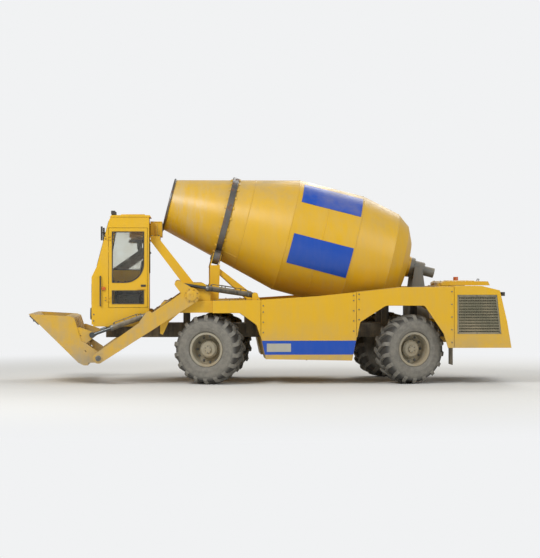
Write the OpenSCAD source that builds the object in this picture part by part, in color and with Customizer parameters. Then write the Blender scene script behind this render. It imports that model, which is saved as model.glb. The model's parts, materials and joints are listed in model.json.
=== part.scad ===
// Self-loading concrete mixer: a four-wheel-drive, four-wheel-steer machine with a loading bucket in
// front, an operator's cab on the left, a drum that discharges forwards and an engine at the rear.
// Sizes are in millimetres and angles in degrees. X points forwards, Y to the left and Z up.
// The ground is at Z = 0. Places are given from the front axle, which from_axle() then moves.

/* [Layout] */
// Place of the front axle ahead of the middle of the machine
front_axle_x = 870; // [700:5:1100]
// Distance between the axles
wheelbase = 2985; // [2900:5:3060]
// Distance from the middle to the centre of a tyre that runs straight
track_half = 1000; // [980:5:1010]
// Distance from the middle to a kingpin
kingpin_y = 740; // [725:5:750]
// Steering angle of the front wheels as the machine parks
front_steer = -20; // [-24:1:0]
// Steering angle of the rear wheels as the machine parks
rear_steer = 20; // [0:1:24]
// Distance from the middle to the outside of the side panels
side_y = 1220; // [1200:5:1240]

/* [Wheels] */
// Diameter of a tyre over its lugs
tyre_d = 1100; // [1060:5:1110]
// Width of a tyre
tyre_w = 450; // [420:5:460]
// Diameter of the seat of the rim
rim_d = 500; // [470:5:520]
// Wall of the rim barrel
rim_wall = 14; // [8:1:20]
// Radius of the hub's final drive
hub_r = 140; // [120:2:160]
// Radius of the spindle in the hub
spindle_r = 60; // [50:1:70]

/* [Axles] */
// Radius of an axle tube
axle_tube_r = 80; // [65:1:95]
// Radius of the differential housing
diff_r = 175; // [150:5:185]
// Radius of a kingpin
kingpin_r = 22; // [16:1:30]
// Height of a knuckle between its two yoke plates
knuckle_h = 250; // [200:5:280]
// Length of a steering arm behind the kingpin
steer_arm = 250; // [240:5:260]
// Radius of a track rod
track_rod_r = 20; // [14:1:24]

/* [Frame] */
// Distance from the middle to the inside of a rail
rail_in = 280; // [260:5:290]
// Width of a rail
rail_w = 100; // [80:5:110]
// Height of the underside of the rails
rail_z = 720; // [700:5:730]
// Height of a rail
rail_h = 220; // [180:5:225]
// Thickness of a rail's web and flanges
rail_t = 16; // [10:1:24]
// Front end of the rails
rail_front = 1750; // [1650:5:1800]
// Distance from the rear axle to the rear end of the rails
rail_tail = 1465; // [1400:5:1500]

/* [Drum] */
// Place of the middle of the roller track ahead of the front axle
ring_x = -188; // [-220:2:-160]
// Height of the middle of the roller track
ring_z = 2632; // [2610:2:2660]
// Slope of the drum's axis
drum_slope = 14.45; // [13.5:0.05:15]
// Outer radius of the roller track
ring_r = 700; // [690:1:710]
// Width of the roller track
ring_w = 90; // [70:2:110]
// Radius of the mouth
mouth_r = 410; // [390:2:430]
// Distance of the mouth ahead of the roller track
mouth_t = 970; // [950:2:990]
// Largest radius of the drum
drum_r = 930; // [922:1:935]
// Wall of the drum
drum_wall = 8; // [5:0.5:12]
// Radius of a support roller
roller_r = 110; // [90:2:120]
// Length of a support roller
roller_w = 100; // [80:2:120]
// Angle of a support roller from the bottom of the track
roller_angle = 38; // [34:1:42]

/* [Loader] */
// Place of the arm pivot ahead of the front axle
arm_x = 380; // [370:2:390]
// Height of the arm pivot
arm_z = 1400; // [1394:2:1410]
// Distance from the middle to the inside of an arm
arm_in = 1140; // [1138:1:1150]
// Thickness of an arm
arm_t = 60; // [40:2:70]
// Radius of the tube that joins the arms
torque_r = 60; // [50:1:66]
// Distance from the middle to the centre of a hydraulic cylinder
cyl_y = 1060; // [1056:1:1064]
// Radius of a hydraulic cylinder
cyl_r = 45; // [38:1:45]
// Radius of a hydraulic rod
cyl_rod_r = 25; // [18:1:28]
// Half the width of the bucket inside its side plates
bucket_half = 1030; // [1000:5:1035]
// Thickness of the bucket's side plates
bucket_side = 20; // [12:1:25]
// Thickness of the bucket's floor and back
bucket_t = 22; // [16:1:30]

/* [Cab] */
// Width of the cab, from the middle of the machine to its left wall
cab_w = 970; // [940:5:972]
// Thickness of the cab's walls and door
cab_wall = 40; // [30:1:50]
// Gap round the door
door_gap = 6; // [5:0.5:9]
// Thickness of the panes
pane_t = 8; // [5:0.5:12]

/* [Chute] */
// Length of the trough ahead of its pivot
trough_l = 680; // [500:5:700]
// Inner radius of the trough
trough_r = 140; // [110:5:145]
// Slope of the trough as the machine parks
trough_slope = 35; // [30:1:40]

/* [Fits] */
// Radial clearance of pins, rods and shafts in their holes
fit = 0.05; // [0.02:0.01:0.1]
// Gap between faces that lie on each other on pieces that move
seat = 0.3; // [0.2:0.05:0.5]
// Gap left under what stands on a sloping face
slope_gap = 0.05; // [0.02:0.01:0.1]

/* [Hidden] */
$fn = 64;

yellow = "#e3a81f";
rim_paint = "#cfcabd";
black = "#2b2c2d";
steel = "#8d9091";
rubber = "#333230";
grey = "#a9a9a2";
blue = "#2f6fb5";
glass = "#a9c4c8";

axle_z = tyre_d / 2;
rail_top = rail_z + rail_h;
rail_out = rail_in + rail_w;
rail_back = -wheelbase - rail_tail;

// Moves what is placed from the front axle to its place from the middle of the machine
module from_axle() {
    translate([front_axle_x, 0, 0]) children();
}

// A shape and its mirror image on the other side of the machine
module both_sides() {
    children();
    mirror([0, 1, 0]) children();
}

// A profile drawn in X and Z, given its width from y0 to y1
module slab(y0, y1) {
    translate([0, y1, 0]) rotate([90, 0, 0]) linear_extrude(y1 - y0) children();
}

// A straight plate with round ends about the points p and q
module strap(p, rp, q, rq) {
    along = atan2(q[1] - p[1], q[0] - p[0]);
    side = acos((rp - rq) / norm(q - p));
    translate(p) circle(rp);
    translate(q) circle(rq);
    polygon([
        p + rp * [cos(along + side), sin(along + side)],
        q + rq * [cos(along + side), sin(along + side)],
        q + rq * [cos(along - side), sin(along - side)],
        p + rp * [cos(along - side), sin(along - side)]
    ]);
}

// A bar with square ends between the points p and q, from offset low to offset high at its left
module bar(p, q, low, high) {
    dir = (q - p) / norm(q - p);
    left = [-dir[1], dir[0]];
    polygon([p + low * left, q + low * left, q + high * left, p + high * left]);
}

function slope_of(p, q) = atan2(q[1] - p[1], q[0] - p[0]);

// Wheels and tyres

flange_y = 0.39 * tyre_w;
flange_h = 22;

// Lugs of one half of a tyre: their number, and half the angle of a lug and the angle of its flank
lugs = 18;
lug_half = 2.4;
lug_flank = 0.8;
pitch = 360 / lugs;
// Angles and heights along one pitch: even, lug in its middle, and lug shared by its two ends
EVEN = [[-0.375 * pitch, 0], [-0.125 * pitch, 0], [0.125 * pitch, 0], [0.375 * pitch, 0]];
NEAR = [[-lug_half - lug_flank, 0], [-lug_half, 1], [lug_half, 1], [lug_half + lug_flank, 0]];
FAR = [
    [lug_half - pitch / 2, 1], [lug_half + lug_flank - pitch / 2, 0],
    [pitch / 2 - lug_half - lug_flank, 0], [pitch / 2 - lug_half, 1]
];
// Rings of a tyre from the bore to the middle of the tread
ACROSS = 0;
GROOVE_R = 1;
LUG_R = 2;
SWEEP = 3;
bore_r = (rim_d / 2 + seat) / cos(pitch / 8);
bead_r = rim_d / 2 + flange_h + 3;
RINGS = [
    [flange_y - seat, bore_r, bore_r, -13],
    [flange_y - seat, bead_r, bead_r, -13],
    [0.5 * tyre_w, 0.35 * tyre_d, 0.35 * tyre_d, -13],
    [0.4 * tyre_w, 0.4625 * tyre_d, 0.4875 * tyre_d, -13],
    [0.02 * tyre_w, 0.465 * tyre_d, 0.5 * tyre_d, 0]
];
function ring_of(row, side, steps) = [
    for (i = [0:lugs - 1], s = steps)
        let (r = row[GROOVE_R] + s[1] * (row[LUG_R] - row[GROOVE_R]), a = i * pitch + s[0] + row[SWEEP])
        [r * cos(a), r * sin(a), side * row[ACROSS]]
];

module tyre() {
    n = 4 * lugs;
    near = [for (i = [0:4]) each ring_of(RINGS[i], 1, i < 3 ? EVEN : NEAR)];
    far = [for (i = [4:-1:0]) each ring_of(RINGS[i], -1, i < 3 ? EVEN : FAR)];
    rings = 2 * len(RINGS);
    // Turned so that a lug's edge stands on the ground
    rotate([-90, 0, 0]) rotate([0, 0, lug_half]) polyhedron(concat(near, far), [
        for (j = [0:rings - 1], k = [0:n - 1])
            let (p = j * n + k, q = j * n + (k + 1) % n, up = ((j + 1) % rings) * n)
            each [[p, q, up + (k + 1) % n], [p, up + (k + 1) % n, up + k]]
    ]);
}

// Rim, disc and final drive of a wheel whose outer side faces +Y
module rim_and_hub() {
    disc_y = -10;
    seat_r = rim_d / 2;
    flange_r = seat_r + flange_h;
    edge = flange_y + 10;
    hub_in = kingpin_y + 120 - track_half;
    rotate([-90, 0, 0]) difference() {
        rotate_extrude($fn = 96) polygon([
            [0, hub_in], [hub_r, hub_in], [hub_r, disc_y - 16],
            [seat_r - rim_wall, disc_y - 16], [seat_r - rim_wall, -edge],
            [flange_r, -edge], [flange_r, -flange_y], [seat_r, -flange_y], [seat_r, flange_y],
            [flange_r, flange_y], [flange_r, edge], [seat_r - rim_wall, edge],
            [seat_r - rim_wall, disc_y], [hub_r, disc_y], [hub_r, 0.14 * tyre_w],
            [0.8 * hub_r, 0.2 * tyre_w], [0.42 * hub_r, 0.2 * tyre_w], [0.42 * hub_r, 0.24 * tyre_w],
            [0, 0.24 * tyre_w]
        ]);
        translate([0, 0, hub_in - 1]) cylinder(h = spindle_l + 6, r = spindle_r + fit);
    }
}

spindle_l = 160;

// Puts a wheel's pieces at an axle: side is 1 at the left and -1 at the right
module at_wheel(axle_x, side, steer) {
    translate([axle_x, side * kingpin_y, axle_z]) rotate([0, 0, steer])
        mirror([0, side < 0 ? 1 : 0, 0]) translate([0, track_half - kingpin_y, 0]) children();
}

// The same for what turns on the kingpin
module at_kingpin(axle_x, side, steer) {
    translate([axle_x, side * kingpin_y, axle_z]) rotate([0, 0, steer])
        mirror([0, side < 0 ? 1 : 0, 0]) children();
}

knuckle_r = 70;
arm_eye_in = 20;
arm_plate = 24;
arm_drop = 70;

module knuckle() {
    difference() {
        union() {
            cylinder(h = knuckle_h, r = knuckle_r, center = true);
            translate([0, 0, -knuckle_h / 2 - 45]) cylinder(h = knuckle_h + 90, r = kingpin_r);
            rotate([-90, 0, 0]) cylinder(h = 116, r = spindle_r + 25);
            rotate([-90, 0, 0]) cylinder(h = 120 + spindle_l, r = spindle_r);
            translate([0, 0, -arm_drop]) linear_extrude(arm_plate)
                strap([0, 0], knuckle_r, [-steer_arm, -arm_eye_in], 36);
        }
        translate([0, 0, -knuckle_h / 2 - 46]) cylinder(h = 12, r = kingpin_r / 2);
    }
}

// Rigid axle: tube, differential, yokes for the knuckles, pads for the rails and steering cylinder
module axle_beam() {
    yoke_t = 36;
    yoke_in = kingpin_y - knuckle_r - 24;
    pad_h = rail_z - axle_z;
    difference() {
        union() {
            rotate([90, 0, 0]) cylinder(h = 2 * yoke_in, r = axle_tube_r, center = true);
            rotate([90, 0, 0]) cylinder(h = 2 * diff_r, r = 0.72 * diff_r, center = true);
            rotate([90, 0, 0]) cylinder(h = 0.9 * diff_r, r = diff_r, center = true);
            translate([0.4 * diff_r, 0, 0]) rotate([0, 90, 0])
                cylinder(h = diff_r, r1 = 0.75 * diff_r, r2 = 0.4 * diff_r);
            both_sides() {
                translate([-95, yoke_in - 30, -knuckle_h / 2 - 5 - yoke_t])
                    cube([190, 30, knuckle_h + 10 + 2 * yoke_t]);
                for (z = [-knuckle_h / 2 - 5 - yoke_t, knuckle_h / 2 + 5])
                    translate([0, yoke_in, z]) linear_extrude(yoke_t)
                        strap([0, 0], 95, [0, kingpin_y - yoke_in], 60);
                translate([-90, rail_in, 0]) cube([180, rail_w, pad_h]);
            }
            translate([-steer_x, 0, -arm_drop - 20]) rotate([90, 0, 0])
                cylinder(h = 460, r = 40, center = true);
            translate([-steer_x, -60, -arm_drop - 40]) cube([steer_x, 120, 50]);
        }
        both_sides() translate([-110, yoke_in - 40, -arm_drop - 8]) cube([86, 60, arm_plate + 16]);
        both_sides() translate([0, kingpin_y, -knuckle_h])
            cylinder(h = 2 * knuckle_h, r = kingpin_r + fit);
        both_sides() translate([0, kingpin_y, 0])
            cylinder(h = knuckle_h + 10, r = knuckle_r + 8, center = true);
        translate([-steer_x, 0, -arm_drop - 20]) rotate([90, 0, 0])
            cylinder(h = 600, r = track_rod_r + fit, center = true);
    }
}

// Place of a track rod behind its axle at a steering angle, and its shift to the left
steer_x = steer_arm * cos(20);
function rod_shift(steer) = -steer_arm * sin(steer);

// Track rod with its two eyes under the steering arms
module track_rod(axle_x, steer) {
    eye_y = kingpin_y - arm_eye_in;
    eye_z = axle_z - arm_drop - seat;
    translate([axle_x - steer_x, rod_shift(steer), 0]) {
        translate([0, 0, axle_z - arm_drop - 20]) rotate([90, 0, 0])
            cylinder(h = 2 * eye_y - 60, r = track_rod_r, center = true);
        both_sides() translate([0, eye_y, eye_z - 30]) cylinder(h = 30, r = 34);
        both_sides() translate([-track_rod_r, eye_y - 60, axle_z - arm_drop - 20 - track_rod_r])
            cube([2 * track_rod_r, 40, track_rod_r + 10]);
    }
}

module front_axle() from_axle() color(black) translate([0, 0, axle_z]) axle_beam();
module rear_axle() from_axle() color(black) translate([-wheelbase, 0, axle_z]) axle_beam();
module front_track_rod() from_axle() color(steel) track_rod(0, front_steer);
module rear_track_rod() from_axle() color(steel) track_rod(-wheelbase, rear_steer);
module knuckle_fl() from_axle() color(black) at_kingpin(0, 1, front_steer) knuckle();
module knuckle_fr() from_axle() color(black) at_kingpin(0, -1, front_steer) knuckle();
module knuckle_rl() from_axle() color(black) at_kingpin(-wheelbase, 1, rear_steer) knuckle();
module knuckle_rr() from_axle() color(black) at_kingpin(-wheelbase, -1, rear_steer) knuckle();
module wheel_fl() from_axle() color(rim_paint) at_wheel(0, 1, front_steer) rim_and_hub();
module wheel_fr() from_axle() color(rim_paint) at_wheel(0, -1, front_steer) rim_and_hub();
module wheel_rl() from_axle() color(rim_paint) at_wheel(-wheelbase, 1, rear_steer) rim_and_hub();
module wheel_rr() from_axle() color(rim_paint) at_wheel(-wheelbase, -1, rear_steer) rim_and_hub();
module tyre_fl() from_axle() color(rubber) at_wheel(0, 1, front_steer) tyre();
module tyre_fr() from_axle() color(rubber) at_wheel(0, -1, front_steer) tyre();
module tyre_rl() from_axle() color(rubber) at_wheel(-wheelbase, 1, rear_steer) tyre();
module tyre_rr() from_axle() color(rubber) at_wheel(-wheelbase, -1, rear_steer) tyre();

// Frame

tube_cross_r = 50;
post_l = 110;
// Places of the cross tubes, and of the posts that carry the fenders
cross_x = [1600, 560, -900, -1900, -wheelbase - 640, -wheelbase - 1400];
front_post_x = [450, -560];
rear_post_x = [-wheelbase + 230, -wheelbase - 230];
outrigger_x = [-wheelbase - 900, -wheelbase - 1350];

module chassis_frame() from_axle() color(black) {
    both_sides() difference() {
        translate([rail_back, rail_in, rail_z]) cube([rail_front - rail_back, rail_w, rail_h]);
        translate([rail_back - 1, rail_in - 1, rail_z + rail_t])
            cube([rail_front - rail_back + 2, rail_w - rail_t + 1, rail_h - 2 * rail_t]);
    }
    for (x = cross_x) translate([x, 0, rail_z + rail_h / 2]) rotate([90, 0, 0])
        cylinder(h = 2 * (rail_out - rail_t / 2), r = tube_cross_r, center = true);
    both_sides() for (x = [-1100, -1850]) translate([x, rail_out, rail_z + 40])
        cube([120, tank_in - rail_out, 120]);
    both_sides() for (x = rear_post_x)
        translate([x - post_l / 2, rail_out - 8, rail_z + 60]) cube([post_l, 108, rear_arch_z - rail_z - 60]);
    both_sides() for (x = front_post_x) slab(rail_out - 8, rail_out + 80) polygon([
        [x - post_l / 2, rail_z + 60], [x + post_l / 2, rail_z + 60],
        [x + post_l / 2, arch_at(x + post_l / 2) - slope_gap],
        [x - post_l / 2, arch_at(x - post_l / 2) - slope_gap]
    ]);
    both_sides() for (x = outrigger_x)
        translate([x, rail_out - 8, rail_z]) cube([90, side_y - panel_t - rail_out + 8, 60]);
    tail();
}

// Rear cross beam with the towing jaw
hitch_r = 20;
module tail() {
    x1 = rail_back;
    difference() {
        union() {
            translate([x1 - 40, -520, rail_z]) cube([40, 1040, rail_h]);
            for (z = [rail_z + 50, rail_z + 140]) translate([x1 - 130, -60, z]) cube([90, 120, 24]);
        }
        translate([x1 - 90, 0, rail_z]) cylinder(h = rail_h, r = hitch_r);
    }
}

// Fenders, tanks and engine cover

deck_front = 875;
step_x = 50;
fender_front_y = 1100;
function deck_z(x) = 1300 + (820 - x) * 0.0223;
function on_deck(x) = deck_z(x) + slope_gap;
function rear_x(x) = -wheelbase + x;
front_arch = [[832, 783], [737, 984], [573, 1126], [-380, 1133], [-642, 943], [-704, 761]];
function arch_at(x) = lookup(x, [for (i = [len(front_arch) - 1:-1:0]) front_arch[i]]);
rear_arch_z = 1246;
seam_1 = -704;

module front_fenders() from_axle() color(yellow) both_sides() {
    slab(rail_out, fender_front_y) polygon(concat(front_arch, [
        [seam_1, deck_z(seam_1)], [820, deck_z(820)], [deck_front, 1240], [deck_front, 800]
    ]));
    slab(fender_front_y - 1, side_y) polygon([
        [step_x, arch_at(step_x)], front_arch[3], front_arch[4], front_arch[5],
        [seam_1, deck_z(seam_1)], [step_x, deck_z(step_x)]
    ]);
}

tank_in = 460;
panel_t = 25;
seam_2 = rear_x(773);
box_top = 1170;
module side_tanks() from_axle() color(yellow) both_sides() {
    slab(tank_in, side_y) polygon([
        [seam_1 - 6, box_top], [seam_1 - 6, 745], [-785, 400],
        [rear_x(840), 375], [seam_2, 710], [seam_2, box_top]
    ]);
    slab(side_y - panel_t, side_y) polygon([
        [seam_1 - 6, box_top - 1], [seam_2, box_top - 1], [seam_2, 1453],
        [-1600, 1390], [seam_1 - 6, deck_z(seam_1)]
    ]);
}

liner_in = 450;
rear_box_in = 800;
seam_3 = rear_x(-778);
rear_arch = [[767, 742], [719, 984], [306, rear_arch_z], [-311, rear_arch_z], [-617, 801], [-687, 571]];
function rear_arch_at(x) = lookup(x, [for (i = [len(rear_arch) - 1:-1:0]) rear_arch[i]]);
function rear_arch_pts() = [for (p = rear_arch) [rear_x(p[0]), p[1]]];
module rear_fenders() from_axle() color(yellow) both_sides() {
    top = [[seam_3 + 3, 1535], [rear_x(55), 1530], [seam_2 - 6, 1453]];
    slab(side_y - panel_t, side_y) polygon(concat(rear_arch_pts(), [[seam_3 + 3, 571]], top));
    // Inside the panel the box ends behind the arch in a sloping floor
    slab(rear_box_in, side_y - panel_t + 1) polygon(concat(
        [for (i = [0:3]) rear_arch_pts()[i]],
        [[rear_x(-760), 900], [rear_x(-760), 571], [seam_3 + 3, 571]], top));
    slab(liner_in, rear_box_in + 1) polygon([
        [rear_x(560), rear_arch_at(560)], [rear_x(306), rear_arch_z], [rear_x(-311), rear_arch_z],
        [rear_x(-420), 1170], [rear_x(-434), 1190], [rear_x(-318), rear_arch_z + 24],
        [rear_x(312), rear_arch_z + 24], [rear_x(574), rear_arch_at(560) + 20]
    ]);
}

// Rubber flaps that hang behind the rear wheels
flap_t = 12;
flap_z = [300, 700];
module mud_flaps() from_axle() color(rubber) both_sides()
    translate([rear_x(-760), rear_box_in + 10, flap_z[0]]) cube([flap_t, 380, flap_z[1] - flap_z[0]]);

tail_x = rear_x(-1690);
cover_top = 1550;
function tail_face(z) = tail_x + (z - 571) * (rear_x(-1621) - tail_x) / (984 - 571);
hood_y = 600;
cowl_y = 640;
hood_front = rear_x(-640);
hood_back = rear_x(-1415);
// Outline of the engine cover's side
function cover_outline(d) = [
    [seam_3 - 3 - d, 571 - 2 * d], [seam_3 - 3 - d, cover_top - d], [rear_x(-1215), cover_top - d],
    [rear_x(-1505) + d, 1480 - d], [rear_x(-1621) + d, 984], [tail_x + d, 571 - 2 * d]
];
grille_x = [seam_3 - 50, rear_x(-1500)];
grille_z = [790, 1410];
rear_grille_y = 480;

module side_grille_outline(d) {
    polygon([
        [grille_x[0] - d, grille_z[0] + d], [grille_x[0] - d, grille_z[1] - d],
        [grille_x[1] + 40 + d, grille_z[1] - d], [grille_x[1] - 30 + d, grille_z[0] + d]
    ]);
}

module engine_cover() from_axle() color(yellow) {
    difference() {
        slab(-side_y, side_y) polygon(cover_outline(0));
        slab(-side_y + panel_t, side_y - panel_t) polygon(cover_outline(panel_t));
        slab(-side_y - 1, side_y + 1) side_grille_outline(0);
        translate([tail_x - 50, -rear_grille_y, 760]) cube([300, 2 * rear_grille_y, 620]);
        translate([hood_back + 10, -hood_y, 1400]) cube([seam_3 - 13 - hood_back, 2 * hood_y, 400]);
        translate([seam_3 - 200, -rear_box_in, 500]) cube([300, 2 * rear_box_in, 700]);
    }
    both_sides() translate([seam_3 - 33, liner_in, 1195]) cube([30, side_y - liner_in - 1, 50]);
    // Cowl between the drum drive and the engine bay
    slab(-cowl_y, cowl_y) polygon([
        [seam_3 - 14, cover_top], [hood_front + 25, cover_top], [hood_front + 25, rail_top + 60],
        [hood_front, rail_top + 60], [hood_front, cover_top - 25], [seam_3 - 14, cover_top - 25]
    ]);
    hood_hinges();
}

// Slats of a grille between z0 and z1
module slats(x0, x1, z0, z1, count, y0, y1) {
    step = (z1 - z0) / count;
    for (i = [0:count - 1]) slab(y0, y1) polygon([
        [x0, z0 + i * step + 0.15 * step], [x1, z0 + i * step + 0.15 * step],
        [x1, z0 + i * step + 0.6 * step], [x0, z0 + i * step + 0.6 * step]
    ]);
}

module engine_grilles() from_axle() color(black) {
    both_sides() {
        slab(side_y - panel_t, side_y - 6) difference() {
            side_grille_outline(seat);
            side_grille_outline(26);
        }
        intersection() {
            slats(grille_x[1] - 30, grille_x[0], grille_z[0], grille_z[1], 14,
                  side_y - panel_t, side_y - 10);
            slab(0, side_y) side_grille_outline(seat);
        }
    }
    // The rear grille leans with the tail
    lean = atan2(69, 364);
    translate([rear_x(-1655), 0, 770]) rotate([0, lean, 0]) {
        for (y = [-rear_grille_y + seat, rear_grille_y - 25 - seat])
            translate([0, y, 0]) cube([18, 25, 600]);
        for (z = [0:60:570]) translate([0, -rear_grille_y + 1, z]) cube([16, 2 * rear_grille_y - 2, 30]);
    }
}

module engine_block() from_axle() color(grey) {
    translate([rear_x(-1380), -360, rail_top]) cube([560, 720, 500]);
    translate([rear_x(-1300), -rail_in + 20, 760]) cube([420, 2 * rail_in - 40, rail_top - 759]);
}

hood_h = 70;
hood_hinge = [hood_front - 16, cover_top + 22];
module engine_hood() from_axle() color(yellow) {
    difference() {
        union() {
            difference() {
                slab(-hood_y - 40, hood_y + 40) polygon([
                    [hood_back - 30, cover_top + 5], [hood_back, cover_top + hood_h],
                    [hood_front - 60, cover_top + hood_h], [hood_front - 20, cover_top + 45],
                    [hood_front - 20, cover_top + 5]
                ]);
                slab(-hood_y - 20, hood_y + 20) polygon([
                    [hood_back - 8, cover_top], [hood_back + 12, cover_top + hood_h - 20],
                    [hood_front - 66, cover_top + hood_h - 20], [hood_front - 40, cover_top + 38],
                    [hood_front - 40, cover_top]
                ]);
            }
            both_sides() slab(300, 420) translate(hood_hinge) circle(14);
        }
        slab(-500, 500) translate(hood_hinge) circle(8 + fit);
        both_sides() for (y = lug_at) slab(y - 5, y + 17) translate(hood_hinge) circle(28);
    }
}

// Hinge lugs and pins of the hood, on the cowl behind the drum drive
lug_at = [283, 425];
module hood_hinges() both_sides() {
    for (y = lug_at) slab(y, y + 12) {
        translate(hood_hinge) circle(14);
        polygon([
            hood_hinge + [-14, 0], hood_hinge + [14, 0],
            [hood_hinge[0] + 20, cover_top - 10], [hood_hinge[0] - 20, cover_top - 10]
        ]);
    }
    slab(286, 436) translate(hood_hinge) circle(8);
}

// Loader brackets on the front fenders

arm_pivot = [arm_x, arm_z];
lift_base = [-620, 1400];
lift_eye = [arm_x + 211, arm_z + 184];
bucket_pin = [arm_x + 1460, arm_z - 980];
tilt_base = [arm_x + 670, arm_z - 300];
tilt_eye = [arm_x + 1560, arm_z - 620];
pin_r = 25;
eye_half = 28;
bracket_y = [580, 1010];

module loader_brackets() from_axle() color(yellow) both_sides() {
    difference() {
        slab(bracket_y[0], bracket_y[1]) polygon([
            [80, on_deck(80)], [560, on_deck(560)], [560, 1500], [535, 1600], [200, 1600], [80, 1520]
        ]);
        slab(bracket_y[0] - 1, bracket_y[1] + 1) translate(arm_pivot) circle(torque_r + fit);
        slab(bracket_y[0] + 30, bracket_y[1] - 30) polygon([
            [110, 1480], [110, deck_z(110) + 30], [arm_x - torque_r - 25, deck_z(300) + 30],
            [arm_x - torque_r - 25, 1570], [220, 1570]
        ]);
    }
    for (y = [cyl_y - 70, cyl_y + eye_half + 2]) slab(y, y + 40) {
        translate(lift_base) circle(48);
        polygon([
            [lift_base[0] - 78, on_deck(lift_base[0] - 78)], [lift_base[0] + 47, on_deck(lift_base[0] + 47)],
            lift_base + [47, 0], lift_base + [-47, 0]
        ]);
    }
    slab(cyl_y - 70, cyl_y + 70) translate(lift_base) circle(pin_r);
}

// Hydraulic cylinders: a barrel along +X from its eye, and its rod

module cyl_barrel(length, bore_from, bore_r) {
    difference() {
        union() {
            rotate([0, 90, 0]) cylinder(h = length, r = cyl_r - 3);
            translate([length - 50, 0, 0]) rotate([0, 90, 0]) cylinder(h = 50, r = cyl_r);
            rotate([90, 0, 0]) cylinder(h = 2 * eye_half, r = cyl_r + 3, center = true);
        }
        translate([bore_from, 0, 0]) rotate([0, 90, 0]) cylinder(h = length, r = cyl_rod_r + fit);
        rotate([90, 0, 0]) cylinder(h = 200, r = bore_r, center = true);
        for (s = [-1, 1]) translate([-80, s * (eye_half + 25) - 25, -80]) cube([138, 50, 160]);
    }
}

module cyl_rod(from, to) {
    translate([from, 0, 0]) rotate([0, 90, 0]) cylinder(h = to - from - 30, r = cyl_rod_r);
    translate([to, 0, 0]) rotate([90, 0, 0]) cylinder(h = 2 * eye_half - 2, r = cyl_r, center = true);
}

module along_cylinder(p, q) both_sides() translate([p[0], cyl_y, p[1]])
    rotate([0, -slope_of(p, q), 0]) children();

lift_l = norm(lift_eye - lift_base);
tilt_l = norm(tilt_eye - tilt_base);
lift_barrel_l = 780;
tilt_barrel_l = 640;
module lift_barrels() from_axle() color(black) along_cylinder(lift_base, lift_eye)
    cyl_barrel(lift_barrel_l, 90, pin_r + fit);
module lift_rods() from_axle() color(steel) along_cylinder(lift_base, lift_eye) cyl_rod(700, lift_l);
module tilt_barrels() from_axle() color(black) along_cylinder(tilt_base, tilt_eye)
    cyl_barrel(tilt_barrel_l, 90, pin_r + fit);
module tilt_rods() from_axle() color(steel) along_cylinder(tilt_base, tilt_eye) cyl_rod(320, tilt_l);

// Loader arms and bucket

module loader_arms() from_axle() color(yellow) {
    slab(-arm_in - 1, arm_in + 1) translate(arm_pivot) circle(torque_r);
    both_sides() {
        difference() {
            slab(arm_in, arm_in + arm_t) {
                strap(arm_pivot, 125, bucket_pin, 85);
                strap(arm_pivot, 110, lift_eye, 55);
                strap(tilt_base, 55, tilt_base + [60, -140], 90);
                polygon([
                    arm_pivot + [300, -60], tilt_base + [-60, 40], tilt_base + [110, -90],
                    tilt_base + [20, -160], arm_pivot + [400, -330]
                ]);
            }
            slab(arm_in - 1, arm_in + arm_t + 1) translate(bucket_pin) circle(pin_r + 5 + fit);
        }
        slab(cyl_y + eye_half - 1 + seat, arm_in + 1) translate(lift_eye) circle(40);
        slab(cyl_y + eye_half + 2, arm_in + 1) translate(tilt_base) circle(40);
        slab(cyl_y - eye_half - 12, arm_in + 1) translate(tilt_base) circle(pin_r);
        slab(cyl_y - eye_half - 14, cyl_y - eye_half - 2) translate(tilt_base) circle(36);
    }
}

// Bucket profile: outside, from the lip round the heel to the top of the back
heel = [2010, 300];
lip = [2935, 1110];
back_top = [2225, 1050];
mouth_top = [2290, 1075];
module bucket_profile(d) {
    // Corners of the outside, with two short facets at the heel
    pts = [lip, [2160, 345], [2075, 302], heel, [1995, 360], [2110, 690], back_top, mouth_top];
    polygon([for (p = pts) p]);
}

module bucket_hollow() {
    dir = (lip - [2160, 345]) / norm(lip - [2160, 345]);
    up = [-dir[1], dir[0]];
    a = lip + 60 * dir + bucket_t * up;
    polygon([
        a, [2160, 345] + bucket_t * up, [2080, 330], [2028, 335], [2020, 366],
        [2110 + bucket_t + 2, 685], [2225 + bucket_t + 6, 1026], [2350, 1060], [2500, 1500]
    ]);
}

module bucket() from_axle() color(yellow) {
    side = bucket_half + bucket_side;
    difference() {
        slab(-side, side) bucket_profile(0);
        slab(-bucket_half, bucket_half) bucket_hollow();
    }
    both_sides() {
        slab(bucket_half, side) {
            strap(bucket_pin, 75, [2060, 430], 90);
            strap(bucket_pin + [60, 60], 60, [2100, 640], 40);
        }
        slab(bucket_half, arm_in - 5) translate(bucket_pin) circle(58);
        slab(bucket_half, arm_in + arm_t + 12) translate(bucket_pin) circle(pin_r + 5);
        slab(lug_y, cyl_y - eye_half - 2) difference() {
            union() {
                strap(tilt_eye, 48, tilt_eye + [200, -110], 80);
                strap(tilt_eye, 48, tilt_eye + [210, 60], 60);
            }
            bucket_hollow();
        }
        slab(lug_y + 1, cyl_y - eye_half + 1 - seat) translate(tilt_eye) circle(32);
    }
}
lug_y = cab_w + 14;

// Drum and what carries it

module on_drum_axis() from_axle() translate([ring_x, 0, ring_z]) rotate([0, -90 - drum_slope, 0])
    children();

cone_l = 1015;
// The drum's back keeps its place ahead of the rear axle
belly_back = 895;
rear_back = 265;
hub_l = 360;
belly_l = wheelbase - belly_back;
rear_l = wheelbase - rear_back;
tip_l = rear_l + hub_l;
shoulder_r = drum_r - 10;
rear_r = 795;
hub_out_r = 170;
cone_slope = (shoulder_r - mouth_r) / (cone_l + mouth_t);
function cone_r(t) = mouth_r + (t + mouth_t) * cone_slope;

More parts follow.
